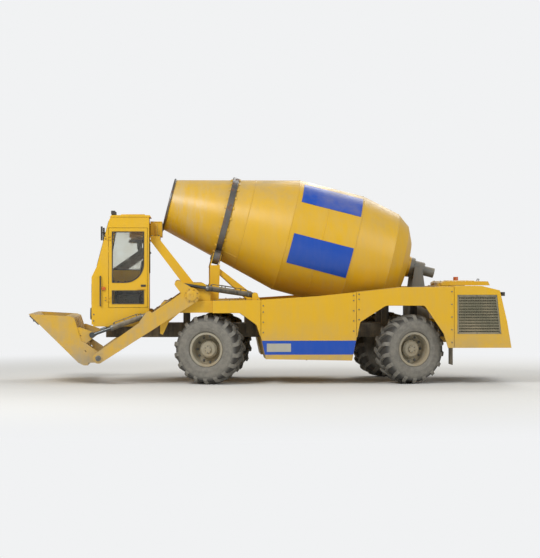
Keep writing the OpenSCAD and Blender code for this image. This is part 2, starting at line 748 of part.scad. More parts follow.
// Half section of the drum, shrunk by d: radius and distance behind the roller track
function drum_points(d) = [
    [mouth_r - d, -mouth_t - (d > 0 ? 1 : 0)], [shoulder_r - d, cone_l], [drum_r - d, belly_l - d],
    [rear_r - d, rear_l - d], [rear_r - 150 - d, rear_l + 205 - d], [rear_r - 380, rear_l + 315 - d]
];

module drum_shell() color(grey) on_drum_axis() {
    rotate_extrude($fn = 96) polygon(concat(
        drum_points(0), [[hub_out_r, tip_l - 10], [hub_out_r, tip_l + 30], [0, tip_l + 30],
        [0, rear_l + 330 - drum_wall]], [for (i = [5:-1:0]) drum_points(drum_wall)[i]]
    ));
    translate([0, 0, tip_l]) cylinder(h = 100, r = 45);
    rotate_extrude($fn = 96) translate([mouth_r - 4, -mouth_t]) square([22, 30]);
}

module drum_ring() color(steel) on_drum_axis() rotate_extrude($fn = 96) polygon([
    [cone_r(-ring_w / 2) + seat, -ring_w / 2], [ring_r, -ring_w / 2], [ring_r, ring_w / 2],
    [cone_r(ring_w / 2) + seat, ring_w / 2]
]);

// Bare panels on the belly of the drum, two on each side: angle from the drum's top
panel_l = 980;
panel_arc = 31;
panel_t0 = cone_l + 75;
panel_angles = [38, 103.7];
function belly_r(t) = shoulder_r + (t - cone_l) * (drum_r - shoulder_r) / (belly_l - cone_l);
module drum_panels() color(blue) on_drum_axis() both_sides() for (a = panel_angles)
    rotate([0, 0, a - panel_arc / 2]) rotate_extrude(angle = panel_arc, $fn = 96) polygon([
        [belly_r(panel_t0) + seat, panel_t0], [belly_r(panel_t0) + 6, panel_t0],
        [belly_r(panel_t0 + panel_l) + 6, panel_t0 + panel_l],
        [belly_r(panel_t0 + panel_l) + seat, panel_t0 + panel_l]
    ]);

roller_at = [-(ring_r + roller_r + seat) * cos(roller_angle), (ring_r + roller_r + seat) * sin(roller_angle)];
cheek_t = 14;
module roller(side) color(steel) on_drum_axis() translate([roller_at[0], side * roller_at[1], 0]) {
    cylinder(h = roller_w, r = roller_r, center = true);
    cylinder(h = roller_w + 2 * (cheek_t + 6) + 16, r = 25, center = true);
}
module roller_left() roller(1);
module roller_right() roller(-1);

stand_post = [-60, 80];
stand_z = 1880;
brace_foot = -640;
module drum_stand() color(yellow) {
    from_axle() both_sides() {
        y0 = roller_at[1] - 80;
        slab(y0, y0 + 160) polygon([
            [stand_post[0], on_deck(stand_post[0])], [stand_post[1], on_deck(stand_post[1])],
            [stand_post[1], stand_z], [stand_post[0] - 20, stand_z]
        ]);
        slab(y0 + 50, y0 + 110) polygon([
            [stand_post[0] - 10, 1830], [stand_post[0] - 10, 1740],
            [brace_foot + 120, on_deck(brace_foot + 120)], [brace_foot - 20, on_deck(brace_foot - 20)],
            [brace_foot - 20, on_deck(brace_foot - 20) + 40]
        ]);
    }
    from_axle() slab(-roller_at[1] + 10, roller_at[1] - 10)
        translate([10, 1780]) circle(45);
    on_drum_axis() both_sides() for (s = [-1, 1]) difference() {
        translate([roller_at[0] - 190, roller_at[1] - 65, s * (roller_w / 2 + 6 + cheek_t / 2) - cheek_t / 2])
            cube([240, 130, cheek_t]);
        translate([roller_at[0], roller_at[1], s * roller_w - 50]) cylinder(h = 100, r = 25 + fit);
    }
}

gear_l = 330;
module drum_gearbox() color(grey) {
    on_drum_axis() difference() {
        union() {
            translate([0, 0, tip_l + 30 + seat]) cylinder(h = 60, r = 165);
            translate([0, 0, tip_l + 60]) cylinder(h = 210, r = 130);
            translate([0, 0, tip_l + 60]) cylinder(h = gear_l + 60, r = 80);
        }
        translate([0, 0, tip_l]) cylinder(h = 130, r = 45 + fit);
    }
    from_axle() {
        x0 = ring_x - (tip_l + 150) * cos(drum_slope);
        z0 = ring_z - (tip_l + 150) * sin(drum_slope);
        both_sides() slab(rail_in, rail_in + 30) polygon([
            [x0 + 190, rail_top], [x0 + 60, z0 + 40], [x0 - 60, z0 + 20], [x0 - 190, rail_top]
        ]);
        difference() {
            slab(-rail_in - 30, rail_in + 30) polygon([
                [x0 + 35, z0 - 140], [x0 + 25, z0 + 40], [x0 - 25, z0 + 30], [x0 - 35, z0 - 150]
            ]);
        }
    }
}

// Hopper in front of the drum's mouth, on its portal

portal_y = [600, 750];
portal_foot = [435, 1600];
portal_top = [970, 2310];
hopper_x = [845, 1035];
hopper_z = [2340, 2575];
hopper_half = 420;
sheet = 10;
spout = [1225, -340];
collar_r = 150;
collar_bottom = 2245;

module hopper_portal() from_axle() color(yellow) {
    both_sides() slab(portal_y[0], portal_y[1]) polygon([
        portal_foot + [-94, 0], portal_foot + [94, 0], portal_top + [60, -45], portal_top + [60, 20],
        portal_top + [-90, 30], portal_top + [-90, -25]
    ]);
    translate([portal_top[0] - 90, -portal_y[1], portal_top[1] - 40])
        cube([150, 2 * portal_y[1], hopper_z[0] - portal_top[1] + 41]);
    difference() {
        union() {
            translate([hopper_x[0], -hopper_half, hopper_z[0]])
                cube([hopper_x[1] - hopper_x[0], 2 * hopper_half, hopper_z[1] - hopper_z[0]]);
            translate([hopper_x[1] - sheet, spout[1] - 165, hopper_z[0]])
                cube([spout[0] + 165 - hopper_x[1] + sheet, 330, 150]);
        }
        translate([hopper_x[0] + sheet, -hopper_half + sheet, hopper_z[0] + sheet])
            cube([hopper_x[1] - hopper_x[0] - 2 * sheet, 2 * (hopper_half - sheet), 400]);
        translate([hopper_x[0] - 1, -hopper_half + sheet, hopper_z[0] + 80])
            cube([sheet + 2, 2 * (hopper_half - sheet), 400]);
        translate([hopper_x[1] - 2 * sheet, spout[1] - 155, hopper_z[0] + sheet])
            cube([spout[0] + 155 - hopper_x[1] + 2 * sheet, 310, 130]);
        translate([spout[0], spout[1], hopper_z[0] - 50]) cylinder(h = 100, r = collar_r - 12);
    }
    translate([spout[0], spout[1], 0]) difference() {
        union() {
            translate([0, 0, collar_bottom]) cylinder(h = hopper_z[0] - collar_bottom + 5, r = collar_r);
            translate([0, 0, collar_bottom]) cylinder(h = 8, r = collar_r + 12);
        }
        translate([0, 0, collar_bottom - 1]) cylinder(h = 200, r = collar_r - 12);
    }
}

ear_y = collar_r + 28;
pivot_z = collar_bottom - 75;
module chute_ring() from_axle() color(steel) translate([spout[0], spout[1], 0]) {
    difference() {
        translate([0, 0, collar_bottom + 8 + seat]) cylinder(h = 50, r = collar_r + 30);
        translate([0, 0, collar_bottom]) cylinder(h = 100, r = collar_r + fit);
    }
    both_sides() {
        slab(ear_y - 7, ear_y + 7) polygon([
            [-45, collar_bottom + 58], [45, collar_bottom + 58], [35, pivot_z - 25], [-35, pivot_z - 25]
        ]);
        slab(ear_y - 24, ear_y) translate([0, pivot_z]) circle(12);
    }
}

module chute_trough() from_axle() color(grey)
    translate([spout[0], spout[1], pivot_z]) rotate([0, trough_slope, 0]) {
    outer = trough_r + 6;
    difference() {
        translate([-110, 0, -40]) rotate([0, 90, 0]) cylinder(h = trough_l + 110, r = outer);
        translate([-104, 0, -40]) rotate([0, 90, 0]) cylinder(h = trough_l + 120, r = trough_r);
        translate([-200, -300, -40]) cube([trough_l + 400, 600, 300]);
    }
    both_sides() difference() {
        slab(outer - 7, ear_y - 7 - seat) strap([0, 0], 32, [10, -50], 45);
        slab(0, 300) circle(12 + fit);
    }
}

// Platform on the right of the cab, with its tank
module right_platform() from_axle() color(yellow) {
    translate([900, -cab_w, rail_top]) cube([rail_front - 900, cab_w - 20, 20]);
    translate([1080, -cab_w + 10, rail_top + 20]) cube([560, 420, 330]);
    translate([1360, -cab_w + 220, rail_top + 350]) cylinder(h = 30, r = 50);
}

// Cab

cab_floor = rail_top;
cab_back = 1050;
cab_front = 1955;
wind_low = [1872, 1860];
wind_top = [1680, 2590];
function wind_x(z) = wind_low[0] + (z - wind_low[1]) * (wind_top[0] - wind_low[0]) / (wind_top[1] - wind_low[1]);
roof_z = 2640;
door_x = [1072, 1690];
door_z = [1205, 2470];
door_hinge = [door_x[1] + 8, cab_w + 14];
function cab_outline(d) = [
    [cab_back + d, cab_floor + d], [cab_front - d, cab_floor + d], [cab_front - d, 1690],
    wind_low - [d, 0], wind_top - [d, d], [wind_top[0] - 30 - d, roof_z - d], [cab_back + d, roof_z - d]
];

module window_left() polygon([
    [door_x[0], door_z[0]], [door_x[1], door_z[0]], [door_x[1], door_z[1]], [door_x[0], door_z[1]]
]);

module side_window(d) polygon([
    [1130 + d, 1800 + d], [1720 - d, 1800 + d], [1610 - d, 2450 - d], [1130 + d, 2450 - d]
]);
module front_pane(d) bar(wind_low + [-8, 30] + d * [-0.25, 0.97], wind_top + [5, -20] - d * [-0.25, 0.97], 12, 12 + pane_t);
module front_cut() bar(wind_low + [-8, 30], wind_top + [5, -20], -60, 80);

module cab_shell() from_axle() color(yellow) {
    difference() {
        slab(0, cab_w) polygon(cab_outline(0));
        slab(cab_wall, cab_w - cab_wall) polygon(cab_outline(cab_wall));
        slab(cab_w - cab_wall - 1, cab_w + 1) window_left();
        slab(-1, cab_wall + 1) side_window(0);
        slab(70, cab_w - 70) front_cut();
        translate([cab_back - 1, 120, 1750]) cube([cab_wall + 2, cab_w - 240, 480]);
        translate([cab_front - cab_wall - 1, 120, 1250]) cube([cab_wall + 2, cab_w - 240, 330]);
    }
    // Roof edge, rounded at the front
    slab(-15, cab_w + 10) polygon([
        [cab_back - 30, roof_z - 1], [wind_top[0] - 10, roof_z - 1], [wind_top[0] - 40, roof_z + 28],
        [cab_back - 10, roof_z + 28]
    ]);
    // Sill under the cab's side, outside the rails
    translate([cab_back + 60, 420, rail_top - 30]) cube([820, cab_w - 420, 36]);
    // Door hinges
    for (z = [1330, 2300]) difference() {
        translate([door_hinge[0], door_hinge[1], z]) union() {
            cylinder(h = 24, r = 12);
            translate([6, -20, 0]) cube([50, 14, 24]);
        }
        translate([door_hinge[0], door_hinge[1], z - 1]) cylinder(h = 30, r = 6 + fit);
    }
}

module cab_glass() from_axle() color(glass) {
    slab(70 + seat, cab_w - 70 - seat) front_pane(seat);
    slab(16, 16 + pane_t) side_window(seat);
    translate([cab_back + 16, 120 + seat, 1750 + seat])
        cube([pane_t, cab_w - 240 - 2 * seat, 480 - 2 * seat]);
    translate([cab_front - 24, 120 + seat, 1250 + seat])
        cube([pane_t, cab_w - 240 - 2 * seat, 330 - 2 * seat]);
}

door_frame = 50;
rail_band = [1480, 1600];
window_x = [door_x[0] + door_gap + door_frame, door_x[1] - door_gap - door_frame];
corner_r = 300;
module door_window(z0, z1, d) polygon([
    [window_x[0] + d, z0 + d], [window_x[1] - d, z0 + d], [window_x[1] - d, z1 - d], [window_x[0] + d, z1 - d]
]);
// The upper window is rounded at its rear lower corner
module upper_window(d) difference() {
    door_window(rail_band[1], door_z[1] - 60, d);
    difference() {
        translate([window_x[0] - 1, rail_band[1] - 1]) square(corner_r + 1);
        translate([window_x[0] + corner_r, rail_band[1] + corner_r]) circle(corner_r - d);
    }
}

module cab_door() from_axle() color(yellow) {
    difference() {
        slab(cab_w - cab_wall, cab_w) polygon([
            [door_x[0] + door_gap, door_z[0] + door_gap], [door_x[1] - door_gap, door_z[0] + door_gap],
            [door_x[1] - door_gap, door_z[1] - door_gap], [door_x[0] + door_gap, door_z[1] - door_gap]
        ]);
        slab(cab_w - cab_wall - 1, cab_w + 1) {
            upper_window(0);
            door_window(door_z[0] + 60, rail_band[0], 0);
        }
    }
    for (z = [1330, 2300]) translate([door_hinge[0], door_hinge[1], z]) {
        translate([0, 0, -6]) cylinder(h = 36, r = 6);
        for (dz = [-25, 24.5]) translate([0, 0, dz + 0.25]) {
            cylinder(h = 24, r = 12);
            translate([-40, -12, 0]) cube([40, 12, 24]);
            translate([-60, -14.5, 0]) cube([45, 10, 24]);
        }
    }
    translate([door_x[0] + 45, cab_w + 20, 1500]) rotate([0, 90, 0]) cylinder(h = 120, r = 9);
    for (x = [60, 145]) translate([door_x[0] + x, cab_w - 1, 1500]) rotate([-90, 0, 0])
        cylinder(h = 22, r = 8);
}

module door_glass() from_axle() color(glass) slab(cab_w - 24, cab_w - 24 + pane_t) {
    upper_window(seat);
    door_window(door_z[0] + 60, rail_band[0], seat);
}

seat_x = 1330;
module seat() from_axle() color(black) {
    floor_z = cab_floor + cab_wall;
    translate([seat_x - 180, 250, floor_z]) cube([360, 470, 330]);
    translate([seat_x - 230, 230, floor_z + 330]) cube([480, 510, 110]);
    slab(250, 720) polygon([
        [seat_x - 230, floor_z + 380], [seat_x - 120, floor_z + 380],
        [seat_x - 170, floor_z + 1000], [seat_x - 240, floor_z + 1000]
    ]);
}

module steering_console() from_axle() color(black) {
    floor_z = cab_floor + cab_wall;
    slab(400, 560) polygon([
        [1780, floor_z], [1880, floor_z], [1840, floor_z + 560], [1740, floor_z + 620], [1700, floor_z + 560]
    ]);
    translate([1735, 480, floor_z + 590]) rotate([0, -35, 0]) {
        cylinder(h = 110, r = 22);
        translate([0, 0, 96]) rotate_extrude() translate([190, 0]) circle(14);
        for (a = [0, 120, 240]) rotate([0, 0, a]) translate([0, -12, 90]) cube([190, 24, 12]);
    }
}

// Lamps, mirrors and beacon

roof_lamp_x = [1575, 1450];
module lamp_box(size) {
    difference() {
        translate([0, -size / 2, 0]) cube([55, size, 62]);
        translate([45, -size / 2 + 7, 7]) cube([11, size - 14, 48]);
    }
}
rear_lamp_x = rear_x(-1545);
function upper_face(z) = rear_x(-1621) + (z - 984) * 116 / 496;
module work_lamps() from_axle() color(black) {
    for (y = [-1080, 1080]) {
        translate([rear_lamp_x, y, 1390]) mirror([1, 0, 0]) lamp_box(110);
        slab(y - 12, y + 12) polygon([
            [upper_face(1400) - slope_gap, 1400], [upper_face(1440) - slope_gap, 1440],
            [rear_lamp_x - 1, 1440], [rear_lamp_x - 1, 1400]
        ]);
    }
    for (y = [110, 330, 640, 860]) {
        translate([wind_top[0] - 90, y, roof_z + 38]) lamp_box(110);
        translate([wind_top[0] - 75, y - 12, roof_z + 28]) cube([24, 24, 11]);
    }
}

module road_lamps() from_axle() color(grey) {
    for (y = [150, cab_w - 150]) translate([cab_front, y, 1110]) rotate([0, 90, 0])
        cylinder(h = 22, r1 = 85, r2 = 75);
    both_sides() slab(720, 1060) polygon([
        [tail_face(640) - slope_gap, 640], [tail_face(730) - slope_gap, 730],
        [tail_face(730) - 12, 730], [tail_face(640) - 12, 640]
    ]);
}

module mirrors() from_axle() color(black) {
    for (y = [60, cab_w - 60]) {
        from_x = wind_x(2380) + seat;
        translate([from_x, y, 2390]) rotate([0, 90, 0]) cylinder(h = 50, r = 10);
        translate([from_x + 49, y - 55, 2270]) cube([26, 110, 220]);
    }
}

module beacon() from_axle() color("#e0731d") translate([rear_x(-1120), -hood_y - 250, cover_top]) {
    cylinder(h = 30, r = 55);
    translate([0, 0, 29]) cylinder(h = 110, r1 = 48, r2 = 40);
}

chassis_frame();
front_axle();
rear_axle();
front_fenders();
side_tanks();
rear_fenders();
mud_flaps();
engine_cover();
engine_grilles();
engine_block();
engine_hood();
loader_brackets();
drum_stand();
drum_gearbox();
hopper_portal();
right_platform();
cab_shell();
cab_glass();
cab_door();
door_glass();
seat();
steering_console();
work_lamps();
road_lamps();
mirrors();
beacon();
drum_shell();
drum_ring();
drum_panels();
roller_left();
roller_right();
chute_ring();
chute_trough();
loader_arms();
bucket();
lift_barrels();
lift_rods();
tilt_barrels();
tilt_rods();
knuckle_fl();
knuckle_fr();
knuckle_rl();
knuckle_rr();
wheel_fl();
wheel_fr();
wheel_rl();
wheel_rr();
tyre_fl();
tyre_fr();
tyre_rl();
tyre_rr();
front_track_rod();
rear_track_rod();
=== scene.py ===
"""Looks of a self-loading concrete mixer truck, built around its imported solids.

Lengths are in metres unless a name ends in _mm. X points forwards, Y to the machine's left and Z up,
with the origin on the ground under the middle of the machine.
"""
import json
import logging
import math
from abc import ABC, abstractmethod
from dataclasses import dataclass, field
from enum import Enum
from typing import Sequence

import bmesh
import bpy
from mathutils import Matrix, Vector


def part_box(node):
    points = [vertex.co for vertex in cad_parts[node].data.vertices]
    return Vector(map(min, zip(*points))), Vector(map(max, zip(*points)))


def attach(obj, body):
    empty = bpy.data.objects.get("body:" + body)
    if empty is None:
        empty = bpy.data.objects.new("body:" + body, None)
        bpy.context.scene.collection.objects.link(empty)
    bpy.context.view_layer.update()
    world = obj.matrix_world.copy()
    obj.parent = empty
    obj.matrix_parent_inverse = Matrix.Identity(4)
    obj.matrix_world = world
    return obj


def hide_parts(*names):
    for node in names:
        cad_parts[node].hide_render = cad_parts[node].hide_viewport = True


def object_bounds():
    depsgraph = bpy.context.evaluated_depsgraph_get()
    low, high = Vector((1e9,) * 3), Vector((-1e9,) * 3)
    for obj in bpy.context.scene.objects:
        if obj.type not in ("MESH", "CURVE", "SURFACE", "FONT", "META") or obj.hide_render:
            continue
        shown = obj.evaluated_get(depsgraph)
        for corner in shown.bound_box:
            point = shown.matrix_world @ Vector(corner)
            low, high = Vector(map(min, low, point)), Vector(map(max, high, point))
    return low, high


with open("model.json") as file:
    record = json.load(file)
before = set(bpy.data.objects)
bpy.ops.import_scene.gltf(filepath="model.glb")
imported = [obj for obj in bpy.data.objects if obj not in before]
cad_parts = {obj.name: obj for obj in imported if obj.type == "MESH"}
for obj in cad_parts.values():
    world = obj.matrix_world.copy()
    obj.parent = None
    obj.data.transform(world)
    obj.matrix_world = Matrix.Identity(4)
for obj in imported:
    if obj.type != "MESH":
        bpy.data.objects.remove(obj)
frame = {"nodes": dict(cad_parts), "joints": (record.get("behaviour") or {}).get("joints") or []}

CAD_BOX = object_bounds()
LOG = logging.getLogger("mixer")
MM = 0.001
Node = bpy.types.Node
Point = Sequence[float]
Socket = bpy.types.NodeSocket
Tree = bpy.types.NodeTree
Verts = list[bmesh.types.BMVert]


def linear(hex_colour: str) -> tuple[float, float, float, float]:
    """Turns an sRGB hex colour into the linear one that a shader takes.

    Args:
        hex_colour: Colour such as "#e0a81c".

    Returns:
        Linear red, green, blue and an alpha of 1.
    """
    parts = [int(hex_colour[i:i + 2], 16) / 255 for i in (1, 3, 5)]
    red, green, blue = (c / 12.92 if c <= 0.04045 else ((c + 0.055) / 1.055) ** 2.4 for c in parts)
    return red, green, blue, 1.0


def add_node(tree: Tree, kind: str, links: dict | None = None, **settings: object) -> Node:
    """Adds one node with its settings and links.

    Args:
        tree: Node tree that gets the node.
        kind: Type name of the node, without the ShaderNode that every one starts with.
        links: For an input's name or number, what feeds it: a socket, a node's first output in use, or
            a plain value.
        settings: Properties of the node.

    Returns:
        The new node.
    """
    node = tree.nodes.new(f"ShaderNode{kind}")
    for name, value in settings.items():
        setattr(node, name, value)
    for key, value in (links or {}).items():
        if isinstance(value, Node):
            value = next(output for output in value.outputs if output.enabled)
        if isinstance(value, Socket):
            tree.links.new(value, node.inputs[key])
        else:
            node.inputs[key].default_value = value
    return node


def per_metre(size_mm: float) -> float:
    """Scale of a pattern whose grains are size_mm across, for coordinates in metres."""
    return 1000.0 / size_mm


class Wear(Enum):
    """How much a surface has been used: share of its edges that show worn paint."""

    KEPT = 0.25
    USED = 0.55
    HARD = 0.95


# Finishes


@dataclass(frozen=True)
class Finish(ABC):
    """A surface finish of one of the record's material slots, drawn once and shared by its pieces."""

    name: str
    slot: str

    def material(self) -> bpy.types.Material:
        """Draws the finish's material the first time, and finds it again from then on.

        Returns:
            The material.
        """
        made = bpy.data.materials.get(self.name)
        if made:
            return made
        made = bpy.data.materials.new(self.name)
        made.use_nodes = True
        tree = made.node_tree
        tree.nodes.clear()
        place = add_node(tree, "TexCoord").outputs["Object"]
        shader = add_node(tree, "BsdfPrincipled", self.surface(tree, place))
        add_node(tree, "OutputMaterial", {"Surface": shader})
        return made

    @abstractmethod
    def surface(self, tree: Tree, place: Socket) -> dict:
        """Adds the finish's pattern to a new material.

        Args:
            tree: The material's node tree.
            place: Object coordinates, in metres.

        Returns:
            For inputs of the Principled shader, the nodes, sockets or values that they get.
        """


def worn_edges(tree: Tree, place: Socket, width_mm: float, share: float) -> Node:
    """Masks the edges of a piece, broken up as paint that has been knocked off is.

    Args:
        tree: Node tree that gets the mask.
        place: Object coordinates.
        width_mm: How far from an edge the wear reaches.
        share: Part of the edges that is worn, from 0 to 1.

    Returns:
        A node that gives 1 on worn edges.
    """
    rounded = add_node(tree, "Bevel", {"Radius": width_mm * MM}, samples=4)
    facing = add_node(tree, "NewGeometry").outputs["Normal"]
    along = add_node(tree, "VectorMath", {0: rounded, 1: facing}, operation="DOT_PRODUCT")
    edge = add_node(tree, "MapRange", {"Value": along, "From Min": 0.985, "From Max": 0.80})
    chips = add_node(tree, "TexNoise", {"Vector": place, "Scale": per_metre(45), "Detail": 6.0,
                                        "Roughness": 0.65})
    broken = add_node(tree, "MapRange", {"Value": chips, "From Min": 0.66 - 0.25 * share,
                                         "From Max": 0.74 - 0.25 * share})
    return add_node(tree, "Math", {0: edge, 1: broken}, operation="MULTIPLY")


def settled_dust(tree: Tree, place: Socket, amount: float, low: float) -> Node:
    """Masks where dust lies: on faces that look up, low on the machine, and in soft drifts elsewhere.

    Args:
        tree: Node tree that gets the mask.
        place: Object coordinates.
        amount: Thickness of the dust, from 0 to 1.
        low: Height under which splashed dust gathers, in metres.

    Returns:
        A node that gives 0, clean, to 1, covered.
    """
    facing = add_node(tree, "TexCoord").outputs["Normal"]
    up = add_node(tree, "SeparateXYZ", {0: facing}).outputs["Z"]
    level = add_node(tree, "MapRange", {"Value": up, "From Min": 0.35, "From Max": 1.0, "To Max": 0.55})
    height = add_node(tree, "SeparateXYZ", {0: place}).outputs["Z"]
    splash = add_node(tree, "MapRange", {"Value": height, "From Min": low, "From Max": 0.25, "To Max": 0.75})
    drift = add_node(tree, "TexNoise", {"Vector": place, "Scale": per_metre(420), "Detail": 7.0,
                                        "Roughness": 0.62})
    runs = add_node(tree, "Mapping", {"Vector": place, "Scale": (1.0, 1.0, 0.12)})
    streak = add_node(tree, "TexNoise", {"Vector": runs, "Scale": per_metre(60), "Detail": 3.0})
    mixed = add_node(tree, "Math", {0: drift, 1: streak}, operation="MULTIPLY")
    soft = add_node(tree, "MapRange", {"Value": mixed, "From Min": 0.16, "From Max": 0.42, "To Max": amount})
    heaped = add_node(tree, "Math", {0: level, 1: splash}, operation="ADD")
    uneven = add_node(tree, "MapRange", {"Value": drift, "From Min": 0.30, "From Max": 0.62})
    patchy = add_node(tree, "Math", {0: heaped, 1: uneven}, operation="MULTIPLY")
    return add_node(tree, "Math", {0: patchy, 1: soft}, operation="ADD", use_clamp=True)


@dataclass(frozen=True)
class Enamel(Finish):
    """Air-drying machinery enamel sprayed on steel sheet: an even coat with a slight orange peel, faded by
    the sun, dulled by dust and knocked down to primer and rust along the edges."""

    colour: str
    faded: str
    dust: str = "#a5977c"
    primer: str = "#4b3a2c"
    dust_amount: float = 0.30
    wear: Wear = Wear.USED
    roughness: float = 0.38
    splash_height: float = 1.0
    peel_mm: float = 9.0

    def surface(self, tree: Tree, place: Socket) -> dict:
        """Adds fading, dust, worn edges and orange peel.

        Args:
            tree: The material's node tree.
            place: Object coordinates, in metres.

        Returns:
            Inputs of the Principled shader.
        """
        fade = add_node(tree, "TexNoise", {"Vector": place, "Scale": per_metre(900), "Detail": 4.0})
        tone = add_node(tree, "Mix", {"Factor": fade, "A": linear(self.colour), "B": linear(self.faded)},
                        data_type="RGBA")
        edges = worn_edges(tree, place, 5.0, self.wear.value)
        chipped = add_node(tree, "Mix", {"Factor": edges, "A": tone, "B": linear(self.primer)},
                           data_type="RGBA")
        dust = settled_dust(tree, place, self.dust_amount, self.splash_height)
        dusty = add_node(tree, "Mix", {"Factor": dust, "A": chipped, "B": linear(self.dust)},
                         data_type="RGBA")
        dull = add_node(tree, "MapRange", {"Value": dust, "To Min": self.roughness, "To Max": 0.9})
        peel = add_node(tree, "TexNoise", {"Vector": place, "Scale": per_metre(self.peel_mm), "Detail": 2.0})
        rounded = add_node(tree, "Bevel", {"Radius": 3.0 * MM}, samples=4)
        skin = add_node(tree, "Bump", {"Height": peel, "Strength": 0.06, "Distance": 1.0 * MM,
                                       "Normal": rounded})
        return {"Base Color": dusty, "Roughness": dull, "Normal": skin, "Coat Weight": 0.15,
                "Coat Roughness": 0.25, "IOR": 1.5}


@dataclass(frozen=True)
class DrumEnamel(Enamel):
    """Enamel on the mixing drum: rolled plate under the same paint, with rings of cement dust and runs
    that follow the drum round, heaviest towards the mouth, and caked cement on the wall inside."""

    cement: str = "#b9b3a4"
    caked: str = "#8b877d"
    mouth_x: float = 2.0
    middle: tuple[float, float, float] = (-0.771, 0.0, 2.258)

    def surface(self, tree: Tree, place: Socket) -> dict:
        """Adds the film of cement over the enamel.

        Args:
            tree: The material's node tree.
            place: Object coordinates, in metres.

        Returns:
            Inputs of the Principled shader.
        """
        look = super().surface(tree, place)
        forward = add_node(tree, "SeparateXYZ", {0: place}).outputs["X"]
        near_mouth = add_node(tree, "MapRange", {"Value": forward, "From Min": self.mouth_x - 1.5,
                                                 "From Max": self.mouth_x, "To Min": 0.10, "To Max": 0.75})
        rings = add_node(tree, "Mapping", {"Vector": place, "Scale": (1.0, 0.22, 0.22)})
        film = add_node(tree, "TexNoise", {"Vector": rings, "Scale": per_metre(160), "Detail": 8.0,
                                           "Roughness": 0.7})
        spots = add_node(tree, "MapRange", {"Value": film, "From Min": 0.45, "From Max": 0.72})
        cover = add_node(tree, "Math", {0: near_mouth, 1: spots}, operation="MULTIPLY")
        filmed = add_node(tree, "Mix", {"Factor": cover, "A": look["Base Color"], "B": linear(self.cement)},
                          data_type="RGBA")
        outward = add_node(tree, "VectorMath", {0: place, 1: self.middle}, operation="SUBTRACT")
        facing = add_node(tree, "TexCoord").outputs["Normal"]
        away = add_node(tree, "VectorMath", {0: outward, 1: facing}, operation="DOT_PRODUCT")
        inside = add_node(tree, "MapRange", {"Value": away, "From Min": -0.02, "From Max": -0.08,
                                             "To Max": 0.9})
        lined = add_node(tree, "Mix", {"Factor": inside, "A": filmed, "B": linear(self.caked)},
                         data_type="RGBA")
        return {**look, "Base Color": lined}


@dataclass(frozen=True)
class Casting(Finish):
    """Sand-cast iron under a thin black coat: a pebbled skin, caked with dry mud in its hollows."""

    colour: str = "#2c2c2c"
    mud: str = "#7d715d"

    def surface(self, tree: Tree, place: Socket) -> dict:
        """Adds the sand-cast skin and the mud.

        Args:
            tree: The material's node tree.
            place: Object coordinates, in metres.

        Returns:
            Inputs of the Principled shader.
        """
        sand = add_node(tree, "TexNoise", {"Vector": place, "Scale": per_metre(12), "Detail": 5.0,
                                           "Roughness": 0.7})
        cake = add_node(tree, "TexNoise", {"Vector": place, "Scale": per_metre(150), "Detail": 6.0,
                                           "Roughness": 0.65})
        mud = add_node(tree, "MapRange", {"Value": cake, "From Min": 0.44, "From Max": 0.66, "To Max": 0.85})
        tone = add_node(tree, "Mix", {"Factor": mud, "A": linear(self.colour), "B": linear(self.mud)},
                        data_type="RGBA")
        dull = add_node(tree, "MapRange", {"Value": mud, "To Min": 0.55, "To Max": 0.95})
        rounded = add_node(tree, "Bevel", {"Radius": 5.0 * MM}, samples=4)
        skin = add_node(tree, "Bump", {"Height": sand, "Strength": 0.35, "Distance": 2.0 * MM,
                                       "Normal": rounded})
        lumps = add_node(tree, "Bump", {"Height": mud, "Strength": 0.5, "Distance": 6.0 * MM, "Normal": skin})
        return {"Base Color": tone, "Roughness": dull, "Normal": lumps}


@dataclass(frozen=True)
class BareSteel(Finish):
    """Rolled or turned steel that work keeps bright: fine scratches across the run, with a bloom of rust
    and dry concrete where nothing rubs."""

    colour: str
    rust: str = "#6b4a35"
    roughness: float = 0.34
    rust_share: float = 0.35
    scratch: tuple[float, float, float] = (0.05, 1.0, 1.0)

    def surface(self, tree: Tree, place: Socket) -> dict:
        """Adds scratches and rust.

        Args:
            tree: The material's node tree.
            place: Object coordinates, in metres.

        Returns:
            Inputs of the Principled shader.
        """
        stretched = add_node(tree, "Mapping", {"Vector": place, "Scale": self.scratch})
        lines = add_node(tree, "TexNoise", {"Vector": stretched, "Scale": per_metre(5), "Detail": 4.0})
        bloom = add_node(tree, "TexNoise", {"Vector": place, "Scale": per_metre(110), "Detail": 7.0,
                                            "Roughness": 0.7})
        rust = add_node(tree, "MapRange", {"Value": bloom, "From Min": 0.68 - 0.3 * self.rust_share,
                                           "From Max": 0.82 - 0.3 * self.rust_share})
        tone = add_node(tree, "Mix", {"Factor": rust, "A": linear(self.colour), "B": linear(self.rust)},
                        data_type="RGBA")
        clean = add_node(tree, "MapRange", {"Value": rust, "To Min": 1.0, "To Max": 0.0})
        rough = add_node(tree, "MapRange", {"Value": rust, "To Min": self.roughness, "To Max": 0.9})
        rounded = add_node(tree, "Bevel", {"Radius": 1.5 * MM}, samples=4)
        skin = add_node(tree, "Bump", {"Height": lines, "Strength": 0.12, "Distance": 0.6 * MM,
                                       "Normal": rounded})
        return {"Base Color": tone, "Metallic": clean, "Roughness": rough, "Normal": skin}


